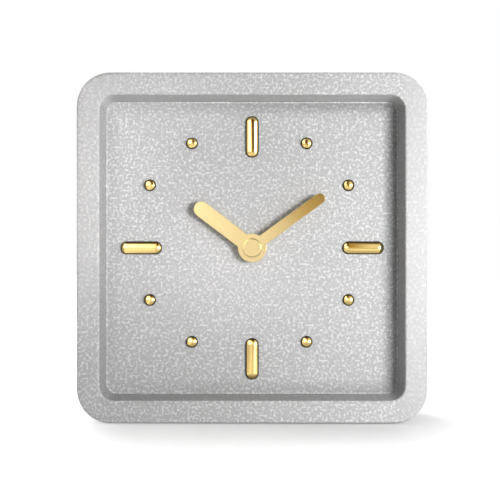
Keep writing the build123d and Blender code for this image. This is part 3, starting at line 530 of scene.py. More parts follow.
# %% The case's section, from its outer rear edge round to its inner rear edge
# These sizes are in millimetres, and depths are counted from the rim.
CASE_DEPTH = (REAR - RIM) / MM
CASE_SIDE = CASE_HALF / MM
DIAL_DEPTH = (DIAL - RIM) / MM
CASE_CORNER = 14.4
CASE_WALL = 3.0
RIM_WIDTH = 9.4
OPENING_CORNER = 6.6
RECESS_LEAN = 1.9
RECESS_WALL = 2.5
LEDGE_WIDTH = 0.5
LEDGE_STEP = 0.6
cover_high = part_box("rear_cover")[1]
COVER_THICK = 2.5
COVER_GAP = 0.2
COVER_FRONT = (cover_high.y - RIM) / MM - COVER_THICK
REBATE_SIDE = cover_high.x / MM + COVER_GAP
opening_side = CASE_SIDE - RIM_WIDTH
foot_side = opening_side - RECESS_LEAN
window_side = foot_side - LEDGE_WIDTH
seat_side = foot_side + RECESS_WALL
wall_lean = RECESS_LEAN * (DIAL_DEPTH - CASE_WALL) / DIAL_DEPTH
hollow_side = CASE_SIDE - CASE_WALL


def corner_at(side):
    """Corner radius of an outline of the recess, which shrinks as the outline does."""
    return OPENING_CORNER + side - opening_side


def shell_corner(side):
    """Corner radius of an outline that runs beside the outer wall."""
    return CASE_CORNER + side - CASE_SIDE


sections = [
    (CASE_SIDE, CASE_CORNER, CASE_DEPTH),
    (CASE_SIDE, CASE_CORNER, 0.0),
    (opening_side, OPENING_CORNER, 0.0),
    (foot_side, corner_at(foot_side), DIAL_DEPTH - LEDGE_STEP),
    (window_side, corner_at(window_side), DIAL_DEPTH - LEDGE_STEP),
    (window_side, corner_at(window_side), DIAL_DEPTH),
    (seat_side, corner_at(seat_side), DIAL_DEPTH),
    (seat_side + wall_lean, corner_at(seat_side + wall_lean), CASE_WALL),
    (hollow_side, shell_corner(hollow_side), CASE_WALL),
    (hollow_side, shell_corner(hollow_side), COVER_FRONT),
    (REBATE_SIDE, shell_corner(REBATE_SIDE), COVER_FRONT),
    (REBATE_SIDE, shell_corner(REBATE_SIDE), CASE_DEPTH),
]
print("case sections:", len(sections))

# %% Draw the case and round its edges
# The radius of each edge that shows, in millimetres, by the number of its section.
EDGE_ROUNDS = {0: 0.6, 1: 0.8, 2: 0.7, 3: 0.12, 4: 0.12, 11: 0.25}
EDGE_STEPS = 5
case_mesh = bmesh.new()
case_loops = drawn_ring(case_mesh, sections)
for number, radius in EDGE_ROUNDS.items():
    bmesh.ops.bevel(
        case_mesh, geom=[edge for edge in case_loops[number] if edge.is_valid], offset=radius * MM,
        affect="EDGES", segments=EDGE_STEPS, profile=0.5, material=-1,
    )
piece_from(case_mesh, "case_shell", "case", "flecked_stone", stone, "housing")

# %% [markdown]
# ## The dial
# The dial is a flat plate of the same stone behind the window. The solid already has its true shape,
# with a pocket for each mark and a bore for its stem, so it stays and only takes the finish.

# %% Dress the dial
def dress(material, *names):
    """Gives solids that stay as they are a finish."""
    for name in names:
        slots = nodes[name].data.materials
        slots.clear()
        slots.append(material)
    print(material.name, "on", ", ".join(names))


dress(stone, "dial_plate")

# %% [markdown]
# ## The marks
# Gold marks sit in shallow pockets of the dial: four bars and eight dots. All are made alike, with an
# upright side, a small rounded edge and a gently crowned top, so one profile serves them all. It is
# worked out from half of a mark's width, as how far in and how far up each step goes.

# %% One profile for every mark
MARK_SIDE = 0.7
MARK_SINK = 0.8
CROWN_EDGE = 0.30
CROWN_LEAN = radians(42)
EDGE_TURNS = 5
CROWN_TURNS = 12
CROWN_END = 0.07


def crown(half):
    """Steps from the side of a mark to its middle: (inwards, upwards), both in millimetres."""
    edge_in = CROWN_EDGE * (1 - sin(CROWN_LEAN))
    edge_up = CROWN_EDGE * cos(CROWN_LEAN)
    ball = (half - edge_in) / sin(CROWN_LEAN)
    steps = []
    for turn in range(EDGE_TURNS + 1):
        lean = pi / 2 + (CROWN_LEAN - pi / 2) * turn / EDGE_TURNS
        steps.append((CROWN_EDGE * (1 - sin(lean)), CROWN_EDGE * cos(lean)))
    for turn in range(1, CROWN_TURNS + 1):
        out = 1 + (CROWN_END - 1) * turn / CROWN_TURNS
        lean = asin(out * sin(CROWN_LEAN))
        steps.append((half - ball * sin(lean), edge_up + ball * (cos(lean) - cos(CROWN_LEAN))))
    return steps


print("points in a mark's profile:", EDGE_TURNS + 1 + CROWN_TURNS)

# %% [markdown]
# ## The bars
# Four bars mark 12, 3, 6 and 9. A rounded outline is drawn forward to make the upright side, and the
# front face is then inset again and again along the profile, which leaves clean rings of faces.

# %% Make the four bars
BAR_WIDTH = 5.3
BAR_LENGTH = 17.7
BAR_CORNER = 2.5
BAR_END_STEPS = 14
HOUR_DEGREES = 30
bar_low, bar_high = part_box("hour_bar_12")
BAR_RING = (bar_low.z + bar_high.z) / 2 - AXIS_UP


def unit_square(mesh):
    """Adds a flat square one metre wide and returns its points."""
    return bmesh.ops.create_grid(mesh, x_segments=1, y_segments=1, size=0.5)["verts"]


def bar(hour):
    mesh = bmesh.new()
    bmesh.ops.scale(mesh, vec=(BAR_WIDTH * MM, BAR_LENGTH * MM, 1.0), verts=unit_square(mesh))
    bmesh.ops.bevel(
        mesh, geom=mesh.verts[:], offset=BAR_CORNER * MM, affect="VERTICES",
        segments=BAR_END_STEPS, profile=0.5, material=-1,
    )
    drawn = bmesh.ops.extrude_face_region(mesh, geom=mesh.faces[:])["geom"]
    side = (0, 0, (MARK_SIDE + MARK_SINK) * MM)
    bmesh.ops.translate(mesh, vec=side, verts=only(bmesh.types.BMVert, drawn))
    top = only(bmesh.types.BMFace, drawn)
    steps = crown(BAR_WIDTH / 2)
    for old, new in zip(steps, steps[1:]):
        inwards = (new[0] - old[0]) * MM
        upwards = (new[1] - old[1]) * MM
        bmesh.ops.inset_region(
            mesh, faces=top, thickness=inwards, depth=0.0, use_even_offset=True, use_boundary=True
        )
        bmesh.ops.translate(mesh, vec=(0, 0, upwards), verts=list(top[0].verts))
    turned_to_hour = Matrix.Rotation(radians(HOUR_DEGREES * hour), 4, "Y")
    stand = Matrix.Translation((0, DIAL, AXIS_UP)) @ turned_to_hour
    lift = Matrix.Translation((0, 0, BAR_RING)) @ UPRIGHT
    seated = Matrix.Translation((0, 0, -MARK_SINK * MM))
    bmesh.ops.transform(mesh, matrix=stand @ lift @ seated, verts=mesh.verts)
    node = f"hour_bar_{hour}"
    piece_from(mesh, f"gold_bar_{hour}", "case", "polished_gold", bright_gold, node)


for hour in (12, 3, 6, 9):
    bar(hour)

# %% [markdown]
# ## The dots
# Eight dots mark the other hours. Each one is turned, as on a lathe: the profile is drawn as a line
# of points beside the dot's own axis, and a full spin carries it round.

# %% Make the eight dots
DOT_ROUND = 48


def spin_line(mesh, line, axis, steps):
    """Joins points into a line and carries it once round an axis through the origin."""
    edges = [mesh.edges.new(pair) for pair in zip(line, line[1:])]
    bmesh.ops.spin(
        mesh, geom=line + edges, cent=(0, 0, 0), axis=axis, angle=2 * pi, steps=steps, use_merge=True
    )


def dot(hour):
    node = f"hour_dot_{hour}"
    low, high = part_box(node)
    radius = (high.x - low.x) / 2
    steps = crown(radius / MM)
    mesh = bmesh.new()
    line = [mesh.verts.new((0, 0, -MARK_SINK * MM)), mesh.verts.new((radius, 0, -MARK_SINK * MM))]
    for inwards, upwards in steps:
        line.append(mesh.verts.new((radius - inwards * MM, 0, (MARK_SIDE + upwards) * MM)))
    line.append(mesh.verts.new((0, 0, (MARK_SIDE + steps[-1][1]) * MM)))
    spin_line(mesh, line, (0, 0, 1), DOT_ROUND)
    middle = ((low.x + high.x) / 2, DIAL, (low.z + high.z) / 2)
    bmesh.ops.transform(mesh, matrix=Matrix.Translation(middle) @ UPRIGHT, verts=mesh.verts)
    piece_from(mesh, f"gold_dot_{hour}", "case", "polished_gold", bright_gold, node)


for hour in (1, 2, 4, 5, 7, 8, 10, 11):
    dot(hour)

# %% [markdown]
# ## The hands and their cap
# The hands are stamped from sheet, so their faces are flat and only the edges are eased. Their solids
# have the true outline, bore and collet. A copy of each is merged, its flat triangles are joined, and
# its sharp edges are bevelled: that keeps the shape and gives the edges the line of light they show.

# %% Ease the edges of a copied solid
FLAT = radians(1.0)
SHARP = radians(30)
SAME_DEPTH = 0.01 * MM
EASE_STEPS = 3
HAND_EASE = 0.10
CAP_EASE = 0.12


def copied(node):
    """A merged copy of a solid's mesh, with its flat triangles joined."""
    mesh = bmesh.new()
    mesh.from_mesh(nodes[node].data)
    bmesh.ops.remove_doubles(mesh, verts=mesh.verts, dist=MERGE)
    bmesh.ops.dissolve_limit(mesh, angle_limit=FLAT, verts=mesh.verts, edges=mesh.edges)
    return mesh


def lies_at(edge, depth):
    """Whether both ends of an edge are at this depth."""
    return all(abs(point.co.y - depth) < SAME_DEPTH for point in edge.verts)


def eased(node, name, body, slot, material, width, depth=None):
    """A copy of a solid with its sharp edges bevelled, or only those that lie at one depth."""
    mesh = copied(node)
    sharp = [edge for edge in mesh.edges if edge.is_manifold and edge.calc_face_angle() > SHARP]
    if depth is not None:
        sharp = [edge for edge in sharp if lies_at(edge, depth)]
    bmesh.ops.bevel(
        mesh, geom=sharp, offset=width * MM, affect="EDGES", segments=EASE_STEPS, profile=0.5,
        material=-1, clamp_overlap=True,
    )
    piece_from(mesh, name, body, slot, material, node)


eased("hour_hand", "satin_hour_hand", "hour", "satin_gold", soft_gold, HAND_EASE)
eased("minute_hand", "satin_minute_hand", "minute", "satin_gold", soft_gold, HAND_EASE)
eased("hand_cap", "satin_hand_cap", "minute", "satin_gold", soft_gold, CAP_EASE)

# %% [markdown]
# ## The rest of the clock
# Behind the dial are plain workshop finishes: moulded plastics, brass, steel, rubber and copper wire.
# Each gets a fine grain at its own scale, so that no surface is one flat colour.

# %% Workshop finishes
GRAINS_IN_CLOUD = 12
ROUGH_SWING = 0.06
PLAIN_BUMP = 0.5


def plain(name, dark, light, rough, per_metre, metal=0.0, relief=0.01):
    """A finish with a faint cloud of two colours and a fine grain."""
    material, shader, place = start(name)
    shader.inputs["Metallic"].default_value = metal
    cloud = noise(place, per_metre / GRAINS_IN_CLOUD, FINE_DETAIL)
    blend(cloud, (*dark, 1.0), (*light, 1.0)).into(shader.inputs["Base Color"])
    grain = noise(place, per_metre)
    part_way(grain, rough - ROUGH_SWING, rough + ROUGH_SWING).into(shader.inputs["Roughness"])
    raised(grain, relief * MM, PLAIN_BUMP).into(shader.inputs["Normal"])
    return material


cover_plastic = plain("cover_plastic", (0.36, 0.36, 0.36), (0.42, 0.42, 0.42), 0.55, 2400.0, 0.0, 0.03)
movement_plastic = plain("movement_plastic", (0.018, 0.018, 0.019), (0.030, 0.030, 0.031), 0.42, 2600.0)
knob_plastic = plain("knob_plastic", (0.020, 0.020, 0.021), (0.032, 0.032, 0.033), 0.34, 2600.0)
wheel_plastic = plain("wheel_plastic", (0.72, 0.71, 0.67), (0.80, 0.79, 0.75), 0.40, 2200.0)
pipe_brass = plain("pipe_brass", (0.74, 0.53, 0.22), (0.84, 0.62, 0.30), 0.28, 2800.0, 1.0)
black_rubber = plain("black_rubber", (0.016, 0.016, 0.016), (0.028, 0.028, 0.028), 0.75, 1800.0)
screw_steel = plain("screw_steel", (0.50, 0.50, 0.51), (0.62, 0.62, 0.62), 0.32, 3000.0, 1.0)
magnet = plain("magnet", (0.22, 0.22, 0.23), (0.30, 0.30, 0.31), 0.40, 2400.0, 1.0)
motor_steel = plain("motor_steel", (0.46, 0.46, 0.48), (0.56, 0.56, 0.57), 0.38, 2600.0, 1.0)
bobbin_plastic = plain("bobbin_plastic", (0.62, 0.60, 0.55), (0.70, 0.68, 0.63), 0.45, 2200.0)
coil_wire = plain("coil_wire", (0.52, 0.20, 0.08), (0.66, 0.28, 0.12), 0.30, 5200.0, 1.0, 0.03)
board = plain("board", (0.055, 0.13, 0.07), (0.075, 0.17, 0.09), 0.45, 2000.0)
chip_resin = plain("chip_resin", (0.014, 0.014, 0.015), (0.024, 0.024, 0.025), 0.30, 1500.0)
bright_steel = plain("bright_steel", (0.66, 0.66, 0.65), (0.76, 0.76, 0.75), 0.22, 3200.0, 1.0)

# %% Dress the solids that stay
dress(
    wheel_plastic, "hour_wheel", "motion_wheel", "centre_wheel", "third_wheel", "second_wheel",
    "intermediate_wheel", "rotor_pinion", "setting_shaft", "train_plate",
)
dress(pipe_brass, "minute_pipe", "centre_bush")
dress(black_rubber, "dial_gasket")
dress(magnet, "rotor_magnet")
dress(motor_steel, "stator", "coil_core")
dress(bobbin_plastic, "coil_bobbin")
dress(coil_wire, "coil_winding")
dress(board, "circuit_board")
dress(chip_resin, "chip_blob")
dress(bright_steel, "contact_negative", "contact_positive", "crystal_can")

# %% [markdown]
# ## The back, the feet and the nut
# A moulded cover closes the case and leaves a well for the movement. Moulded and pressed pieces never
# have knife edges, and edges are what catches light on a dark, plain back. So each of these pieces is
# a copy of its solid with eased edges, as the hands are. On the cover and the movement's case and lid,
# only the edges that lie at the rear are eased.

# %% Ease the moulded and pressed pieces
COVER_EASE = 0.6
LID_EASE = 0.3
KNOB_EASE = 0.10
SCREW_EASE = 0.08
PAD_EASE = 0.20
WASHER_EASE = 0.08
NUT_EASE = 0.15
lid_low, lid_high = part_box("movement_lid")
LID_REAR = lid_high.y
eased("rear_cover", "moulded_cover", "case", "cover_plastic", cover_plastic, COVER_EASE, cover_high.y)
eased("movement_case", "movement_tray", "case", "movement_plastic", movement_plastic, LID_EASE, LID_REAR)
eased("movement_lid", "movement_top", "case", "movement_plastic", movement_plastic, LID_EASE, LID_REAR)
eased("setting_knob", "ridged_knob", "setting", "knob_plastic", knob_plastic, KNOB_EASE)
eased("rear_cover_screws", "cross_screws", "case", "screw_steel", screw_steel, SCREW_EASE)
eased("foot_pads", "round_pads", "case", "black_rubber", black_rubber, PAD_EASE)
eased("dial_washer", "flat_washer", "case", "pipe_brass", pipe_brass, WASHER_EASE)
eased("hex_nut", "brass_nut", "case", "pipe_brass", pipe_brass, NUT_EASE)

# %% [markdown]
# ## The cell
# The cell is a steel can in a printed sleeve that rolls over at both ends. A plain cylinder would miss
# the ends, which show in the open bay, so the sleeve, the flat base and the cap with its nub are turned
# from three profiles round one axis, each given as (along, outwards) in millimetres.

# %% The sleeve's finish
cell_low, cell_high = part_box("battery_cell")
SLEEVE_DARK = (0.045, 0.065, 0.080, 1.0)
SLEEVE_PALE = (0.46, 0.48, 0.50, 1.0)
BAND_START = cell_high.x - 16.0 * MM
PRINT_EDGE = 0.1 * MM
RING_START = BAND_START - 1.2 * MM
RING_END = BAND_START - 0.6 * MM
SLEEVE_CLOUD = 180.0
PALE_SHARE = (0.88, 1.0)
SLEEVE_GRAIN = 1500.0
SLEEVE_ROUGH = (0.24, 0.36)
SLEEVE_COAT = 0.4


def cell_sleeve():
    """Dark print with a pale band towards the cap and a thin pale ring beside it."""
    material, shader, place = start("cell_jacket")
    band, ring_start, ring_end = (
        ease(place.part("X"), edge, edge + PRINT_EDGE) for edge in (BAND_START, RING_START, RING_END)
    )
    cloud = noise(place, SLEEVE_CLOUD, FINE_DETAIL)
    pale = band.most(ring_start - ring_end) * part_way(cloud, *PALE_SHARE)
    blend(pale, SLEEVE_DARK, SLEEVE_PALE).into(shader.inputs["Base Color"])
    part_way(noise(place, SLEEVE_GRAIN), *SLEEVE_ROUGH).into(shader.inputs["Roughness"])
    shader.inputs["Coat Weight"].default_value = SLEEVE_COAT
    return material


cell_jacket = cell_sleeve()

# %% Turn the three pieces of the cell
CELL_ROUND = 56
NUB_LENGTH = 1.3
cell_length = (cell_high.x - cell_low.x) / MM - NUB_LENGTH
cell_out = (cell_high.z - cell_low.z) / 2 / MM
cell_axis = Vector((cell_low.x, (cell_low.y + cell_high.y) / 2, (cell_low.z + cell_high.z) / 2))


def turned(name, slot, material, profile):
    """Spins a profile round the cell's axis."""
    mesh = bmesh.new()
    line = [mesh.verts.new((along * MM, 0, out * MM)) for along, out in profile]
    spin_line(mesh, line, (1, 0, 0), CELL_ROUND)
    bmesh.ops.translate(mesh, vec=cell_axis, verts=mesh.verts)
    piece_from(mesh, name, "cell", slot, material, "battery_cell")


roll = [(0.45, 0.0), (0.45, cell_out - 1.2), (0.15, cell_out - 0.95), (0.15, cell_out - 0.65)]
roll += [(0.35, cell_out - 0.27), (0.70, cell_out)]
sleeve = roll + [(cell_length - along, out) for along, out in reversed(roll)]
base = [(0.0, 0.0), (0.0, 4.4), (0.08, 4.6), (0.20, 4.7), (0.20, 5.7), (0.60, 5.7), (0.60, 0.0)]
cap = [(-0.60, 0.0), (-0.60, 4.6), (-0.36, 4.4), (-0.28, 3.1), (-0.10, 2.75), (0.10, 2.65)]
cap += [(NUB_LENGTH - 0.30, 2.65), (NUB_LENGTH - 0.09, 2.56), (NUB_LENGTH, 2.35), (NUB_LENGTH, 0.0)]
turned("cell_sleeve", "cell_jacket", cell_jacket, sleeve)
turned("cell_base", "bright_steel", bright_steel, base)
turned("cell_cap", "bright_steel", bright_steel, [(cell_length + along, out) for along, out in cap])

# %% [markdown]
# ## Signs on the movement
# Such movements often have a turning arrow round the knob and a plus and a minus by the bay, raised a
# hair from the lid in the same plastic. A bump in the finish would be lost in a plain mesh, so they
# are thin solids, half sunk in the lid.

# %% Raise the arrow, the plus and the minus
SIGN_HIGH = 0.18
SIGN_WIDE = 0.8
SIGN_LONG = 3.2
SIGN_ASIDE = 21.5
SIGN_UP = 3.6
ARROW_RADIUS = 8.3
ARROW_FROM = radians(15)
ARROW_TURN = radians(105)
ARROW_STEPS = 24
ARROW_HEAD = 1.5
knob_low, knob_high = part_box("setting_knob")
knob_middle = Vector(((knob_low.x + knob_high.x) / 2, LID_REAR, (knob_low.z + knob_high.z) / 2))


def raise_shape(mesh, shape):
    """Adds a thin solid from a shape's corners, across and up, half of it below its origin."""
    deep = SIGN_HIGH * MM
    corners = [mesh.verts.new((across, -deep, up)) for across, up in shape]
    face = mesh.faces.new(corners)
    grown = bmesh.ops.extrude_face_region(mesh, geom=[face], use_keep_orig=True)["geom"]
    lifted = only(bmesh.types.BMVert, grown)
    bmesh.ops.translate(mesh, vec=(0, 2 * deep, 0), verts=lifted)
    return corners + lifted


def raise_sign(mesh, way_out):
    """Adds a plus on the right half of the lid, or a minus on the left, as one shape."""
    far = SIGN_LONG * MM / 2
    thin = SIGN_WIDE * MM / 2
    shape = [(-far, -thin), (far, -thin), (far, thin), (-far, thin)]
    if way_out > 0:
        quarter = [(far, -thin), (far, thin), (thin, thin)]
        shape = []
        for turn in range(4):
            shape += quarter
            quarter = [(-up, across) for across, up in quarter]
    points = raise_shape(mesh, shape)
    place = Vector((way_out * SIGN_ASIDE * MM, LID_REAR, lid_low.z + SIGN_UP * MM))
    bmesh.ops.translate(mesh, vec=place, verts=points)


def raise_arrow(mesh):
    """Adds an arc with a head at its far end, round the knob."""
    outer = (ARROW_RADIUS + SIGN_WIDE / 2) * MM
    inner = (ARROW_RADIUS - SIGN_WIDE / 2) * MM
    deep = SIGN_HIGH * MM
    places = [(inner, -deep, 0), (outer, -deep, 0), (outer, deep, 0), (inner, deep, 0)]
    section = [mesh.verts.new(place) for place in places]
    face = mesh.faces.new(section)
    bmesh.ops.spin(
        mesh, geom=[face, *face.edges, *section], cent=(0, 0, 0), axis=(0, -1, 0),
        angle=ARROW_TURN, steps=ARROW_STEPS, use_merge=False,
    )
    arc = mesh.verts[:]
    bmesh.ops.holes_fill(mesh, edges=[edge for edge in mesh.edges if edge.is_boundary], sides=4)
    middle = ARROW_RADIUS * MM
    wing = ARROW_HEAD * MM
    head = raise_shape(mesh, [(middle - wing, 0), (middle + wing, 0), (middle, 2 * wing)])
    bmesh.ops.rotate(mesh, verts=head, cent=(0, 0, 0), matrix=Matrix.Rotation(-ARROW_TURN, 3, "Y"))
    start_turn = Matrix.Rotation(-ARROW_FROM, 4, "Y")
    bmesh.ops.transform(mesh, matrix=Matrix.Translation(knob_middle) @ start_turn, verts=arc + head)


signs = bmesh.new()
raise_arrow(signs)
for way_out in (-1, 1):
    raise_sign(signs, way_out)
piece_from(signs, "lid_signs", "case", "movement_plastic", movement_plastic)

# %% [markdown]
# ## Floor and background
# The clock stands on a white sweep and throws a soft shadow on it. Part of the floor's brightness is
# its own, for the camera and for reflections: little beside the clock, where the shadow lies, and all
# of it further away, where the photograph is plain white. That fall of its own brightness paints part of
# the shadow, which is so partly real and partly painted. More light would bleach the clock instead.

# %% The floor's own brightness
# Painted shadow: the floor's own glow is low beside the clock.
GLOW_NEAR = 0.22
GLOW_LEFT = (-0.095, -0.048)
GLOW_RIGHT = (0.052, 0.125)
GLOW_AHEAD = (-0.02, 0.18)
GLOW_LIFT = 0.10
LIFT_REACH = (-0.060, 0.0)
GLOW_DIP = 0.06
DIP_STARTS = (0.0, 0.030)
DIP_ENDS = (0.055, 0.070)


def floor_glow(place):
    """The floor's own brightness, whose fall paints part of the shadow: little by the clock, rather more
    on its left, and full far away.
    """
    across = place.part("X")
    ahead = ease(place.part("Y").size(), *GLOW_AHEAD)
    beside = ease(across, *GLOW_LEFT) * fall(across, *GLOW_RIGHT)
    lift = GLOW_LIFT * fall(across, *LIFT_REACH) * beside * (1.0 - ahead * ahead)
    dip = GLOW_DIP * ease(across, *DIP_STARTS) * fall(across, *DIP_ENDS) * (1.0 - ahead)
    return 1.0 - (1.0 - GLOW_NEAR) * beside * (1.0 - ahead) + lift - dip


print("the floor's own brightness beside the clock:", GLOW_NEAR)

# %% Make the floor
SEEN_BY = ("Camera", "Glossy", "Transmission")
FLOOR_REACH = 3.0
FLOOR_COLOUR = 0.66
FLOOR_ROUGH = 0.9
GLOW_MIRRORED = (0.36, 0.82)
PATCH_STARTS = (-0.16, -0.11)
PATCH_ENDS = (-0.055, -0.035)


def rays_seen(wire):
    """Three wires that are 1 for a camera, a glossy and a transmission ray."""
    return [wire.node("ShaderNodeLightPath", output=f"Is {kind} Ray") for kind in SEEN_BY]


def white_floor():
    """White that reflections show dimmer, with a brighter patch on the left of the clock's middle that
    only reflections show: a painted reflection.
    """
    material, shader, place = start("white_floor")
    shader.inputs["Base Color"].default_value = grey(FLOOR_COLOUR)
    shader.inputs["Roughness"].default_value = FLOOR_ROUGH
    shader.inputs["Specular IOR Level"].default_value = 0.0
    glow = floor_glow(place)
    camera_ray, glossy_ray, clear_ray = rays_seen(place)
    # Painted reflection: a brighter patch of the floor's own glow, which only the gold mirrors.
    patch = ease(place.part("X"), *PATCH_STARTS) * fall(place.part("X"), *PATCH_ENDS)
    mirrored = part_way(patch, *GLOW_MIRRORED)
    seen = camera_ray.most(mirrored * glossy_ray).most(clear_ray)
    blend(seen * glow, grey(0.0), grey(1.0)).into(shader.inputs["Emission Color"])
    shader.inputs["Emission Strength"].default_value = 1.0
    return material


floor_mesh = bmesh.new()
bmesh.ops.create_grid(floor_mesh, x_segments=1, y_segments=1, size=FLOOR_REACH)
floor = object_from(floor_mesh, "floor", white_floor())
print("floor reaches", FLOOR_REACH, "m each way")

# %% [markdown]
# ## The world
# The camera sees white all round, and the stone gets a dim, even light from a plain room. The gold
# mirrors something else: a white sweep behind the clock, and in front of it a bright panel on the
# left, a fainter one on the right, a dimmer far left and a dark ceiling. One world does all three,
# because a Light Path node tells which kind of ray has come.

# %% Make the world
ROOM_LIGHT = 0.21
MIRRORED_LEFT = 3.20
MIRRORED_RIGHT = 0.90
MIRRORED_SIDE = 0.60
MIRRORED_TOP = 0.12
PANELS_MEET = (-0.15, -0.04)
SIDE_ENDS = (-0.95, -0.60)
TOP_STARTS = (0.60, 0.90)
SWEEP_STARTS = (-0.15, 0.25)
world = bpy.data.worlds.new("studio")
bpy.context.scene.world = world
world.use_nodes = True
sky_tree = world.node_tree
sky_tree.nodes.clear()
way = Wire(sky_tree).node("ShaderNodeTexCoord", output="Generated")
ahead = blend(ease(way.part("X"), *PANELS_MEET), grey(MIRRORED_LEFT), grey(MIRRORED_RIGHT))
ahead = blend(ease(way.part("X"), *SIDE_ENDS), grey(MIRRORED_SIDE), ahead)
ahead = blend(ease(way.part("Z"), *TOP_STARTS), ahead, grey(MIRRORED_TOP))
mirrored = blend(ease(way.part("Y"), *SWEEP_STARTS), ahead, grey(1.0))
camera_ray, glossy_ray, clear_ray = rays_seen(way)
shown = blend(camera_ray.most(clear_ray), blend(glossy_ray, grey(ROOM_LIGHT), mirrored), grey(1.0))
sky = way.node("ShaderNodeBackground", None, {"Color": shown, "Strength": 1.0})
sky_out = sky_tree.nodes.new("ShaderNodeOutputWorld")
sky.into(sky_out.inputs["Surface"])
print("world: room", ROOM_LIGHT, "mirrored left", MIRRORED_LEFT, "right", MIRRORED_RIGHT)

# %% [markdown]
# ## Lamps
# The photograph's main light comes from the right. A lamp can be hidden from one kind of ray, so two
# panels share the work: a large one that only reflections show, and a small, near one that lights the
# stone and throws the hands' soft shadows. A third panel lights the back.

# %% Three panels
def panel(name, place, target, width, height, watts):
    """A soft panel that faces a point."""
    lamp = bpy.data.lights.new(name, "AREA")
    lamp.shape = "RECTANGLE"
    lamp.size = width
    lamp.size_y = height
    lamp.energy = watts
    stand = bpy.data.objects.new(name, lamp)
    stand.location = place
    stand.rotation_euler = (Vector(target) - Vector(place)).to_track_quat("-Z", "Y").to_euler()
    stand.visible_camera = False
    bpy.context.scene.collection.objects.link(stand)
    print(f"{name}: {watts} W at {tuple(round(value, 3) for value in place)}")
    return stand


front = (0.0, RIM, AXIS_UP)
back = (0.0, REAR, AXIS_UP)
key = panel("key_right", place=(0.48, -0.52, 0.085), target=front, width=0.38, height=0.34, watts=5.5)
key.visible_diffuse = False
near = panel("near_right", place=(0.200, -0.271, 0.10), target=front, width=0.11, height=0.11, watts=0.79)
near.visible_glossy = False
panel("rear_fill", place=(-0.30, 0.62, 0.30), target=back, width=0.40, height=0.40, watts=4.5)

# %% [markdown]
# ## Four faint pools of light
# The panels leave a few places of the front a little darker than in the photograph. A lamp with a
# narrow spread, like one behind a grid, lifts one place at a time and leaves the rest alone.

# %% Aim the pools
POOL_LAMP = (0.20, -0.42, 0.09)


def pool(name, across, up, size, spread, watts):
    """A narrow beam from the right that lights one place of the front."""
    lamp = panel(name, POOL_LAMP, (across, RIM, up), size, size, watts)
    lamp.data.spread = radians(spread)
    lamp.visible_glossy = False


pool("pool_left", across=-0.080, up=0.081, size=0.05, spread=14, watts=0.0064)
pool("pool_top", across=-0.060, up=0.132, size=0.05, spread=14, watts=0.0060)
pool("pool_right", across=0.095, up=0.074, size=0.05, spread=26, watts=0.0088)
pool("pool_middle", across=-0.006, up=0.066, size=0.04, spread=8, watts=0.0020)

# %% [markdown]
# ## A dark strip for the gold to mirror
# Polished metal looks like metal only where it mirrors something dark beside something bright. A strip
# of dark cloth hangs in front of the dial, with soft, brown edges and a slanted foot. Only reflections
# show it, so it throws no shadow; each mark mirrors it a little differently, as in the photograph. It is
# a painted reflection, and its brown edges glow of their own, though it is no lamp.

# %% Hang the strip
STRIP_LEFT = (-0.036, -0.004)
STRIP_RIGHT = (0.044, 0.062)
STRIP_FOOT = (0.078, 0.152)
STRIP_SLANT = 0.80
STRIP_LOW = STRIP_FOOT[0] - STRIP_SLANT * STRIP_RIGHT[1]
STRIP_HIGH = 0.42
STRIP_AHEAD = -0.091
STRIP_DARK = 0.95
CLOTH_GREY = 0.01
CLOTH_BROWN_GLOW = (0.45, 0.30, 0.01, 1.0)
CLOTH_DARK_GLOW = (0.05, 0.025, 0.004, 1.0)
BROWN_UNTIL = 0.6


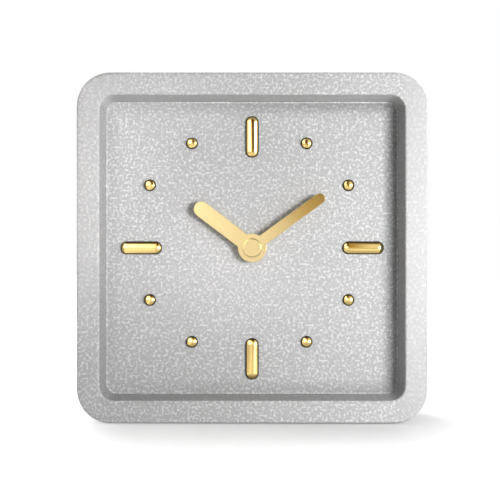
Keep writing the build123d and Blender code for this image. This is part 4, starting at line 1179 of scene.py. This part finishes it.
def black_cloth():
    """Dark cloth that glows brown, a painted reflection, and then thins out towards its edges and its
    foot.
    """
    material, shader, place = start("black_cloth")
    shader.inputs["Base Color"].default_value = grey(CLOTH_GREY)
    shader.inputs["Specular IOR Level"].default_value = 0.0
    across = place.part("X")
    up = place.part("Z") + STRIP_SLANT * across
    thick = ease(across, *STRIP_LEFT) * fall(across, *STRIP_RIGHT) * ease(up, *STRIP_FOOT)
    (STRIP_DARK * ease(thick, 0.0, BROWN_UNTIL)).into(shader.inputs["Alpha"])
    # Painted reflection: the cloth's own glow, brown where it thins and dark in its middle.
    blend(ease(thick, BROWN_UNTIL, 1.0), CLOTH_BROWN_GLOW, CLOTH_DARK_GLOW).into(shader.inputs["Emission Color"])
    shader.inputs["Emission Strength"].default_value = 1.0
    return material


strip_mesh = bmesh.new()
unit_square(strip_mesh)
strip_size = Matrix.Diagonal((STRIP_RIGHT[1] - STRIP_LEFT[0], STRIP_HIGH - STRIP_LOW, 1.0, 1.0))
strip_place = ((STRIP_LEFT[0] + STRIP_RIGHT[1]) / 2, STRIP_AHEAD, (STRIP_LOW + STRIP_HIGH) / 2)
strip_stands = Matrix.Translation(strip_place) @ UPRIGHT @ strip_size
bmesh.ops.transform(strip_mesh, matrix=strip_stands, verts=strip_mesh.verts)
strip = object_from(strip_mesh, "dark_strip", black_cloth())
for ray in ("camera", "diffuse", "transmission", "volume_scatter", "shadow"):
    setattr(strip, f"visible_{ray}", False)
print("strip hangs at", tuple(round(value, 3) for value in strip_place))

# %% [markdown]
# ## Camera
# The clock is seen straight on from about half a metre, a little left of and below its middle. The
# lens follows from the width that the case takes up in a square picture, both in pixels.

# %% Place the camera
PICTURE = 500.0
CASE_PIXELS = 351.0
CAMERA_AWAY = 0.520
SENSOR = 36.0
MIDDLE_RIGHT = 2.2
MIDDLE_UP = 2.2
pixel = 2 * CASE_HALF / CASE_PIXELS
focal_pixels = CAMERA_AWAY / pixel
lens = bpy.data.cameras.new("front_view")
lens.sensor_width = SENSOR
lens.lens = SENSOR * focal_pixels / PICTURE
viewer = bpy.data.objects.new("front_view", lens)
viewer.location = (-MIDDLE_RIGHT * pixel, RIM - CAMERA_AWAY, AXIS_UP - MIDDLE_UP * pixel)
viewer.rotation_euler = (pi / 2, 0, 0)
bpy.context.scene.collection.objects.link(viewer)
bpy.context.scene.camera = viewer
bpy.context.scene.view_settings.view_transform = "Standard"
print(f"lens {lens.lens:.1f} mm at {tuple(round(value, 4) for value in viewer.location)}")
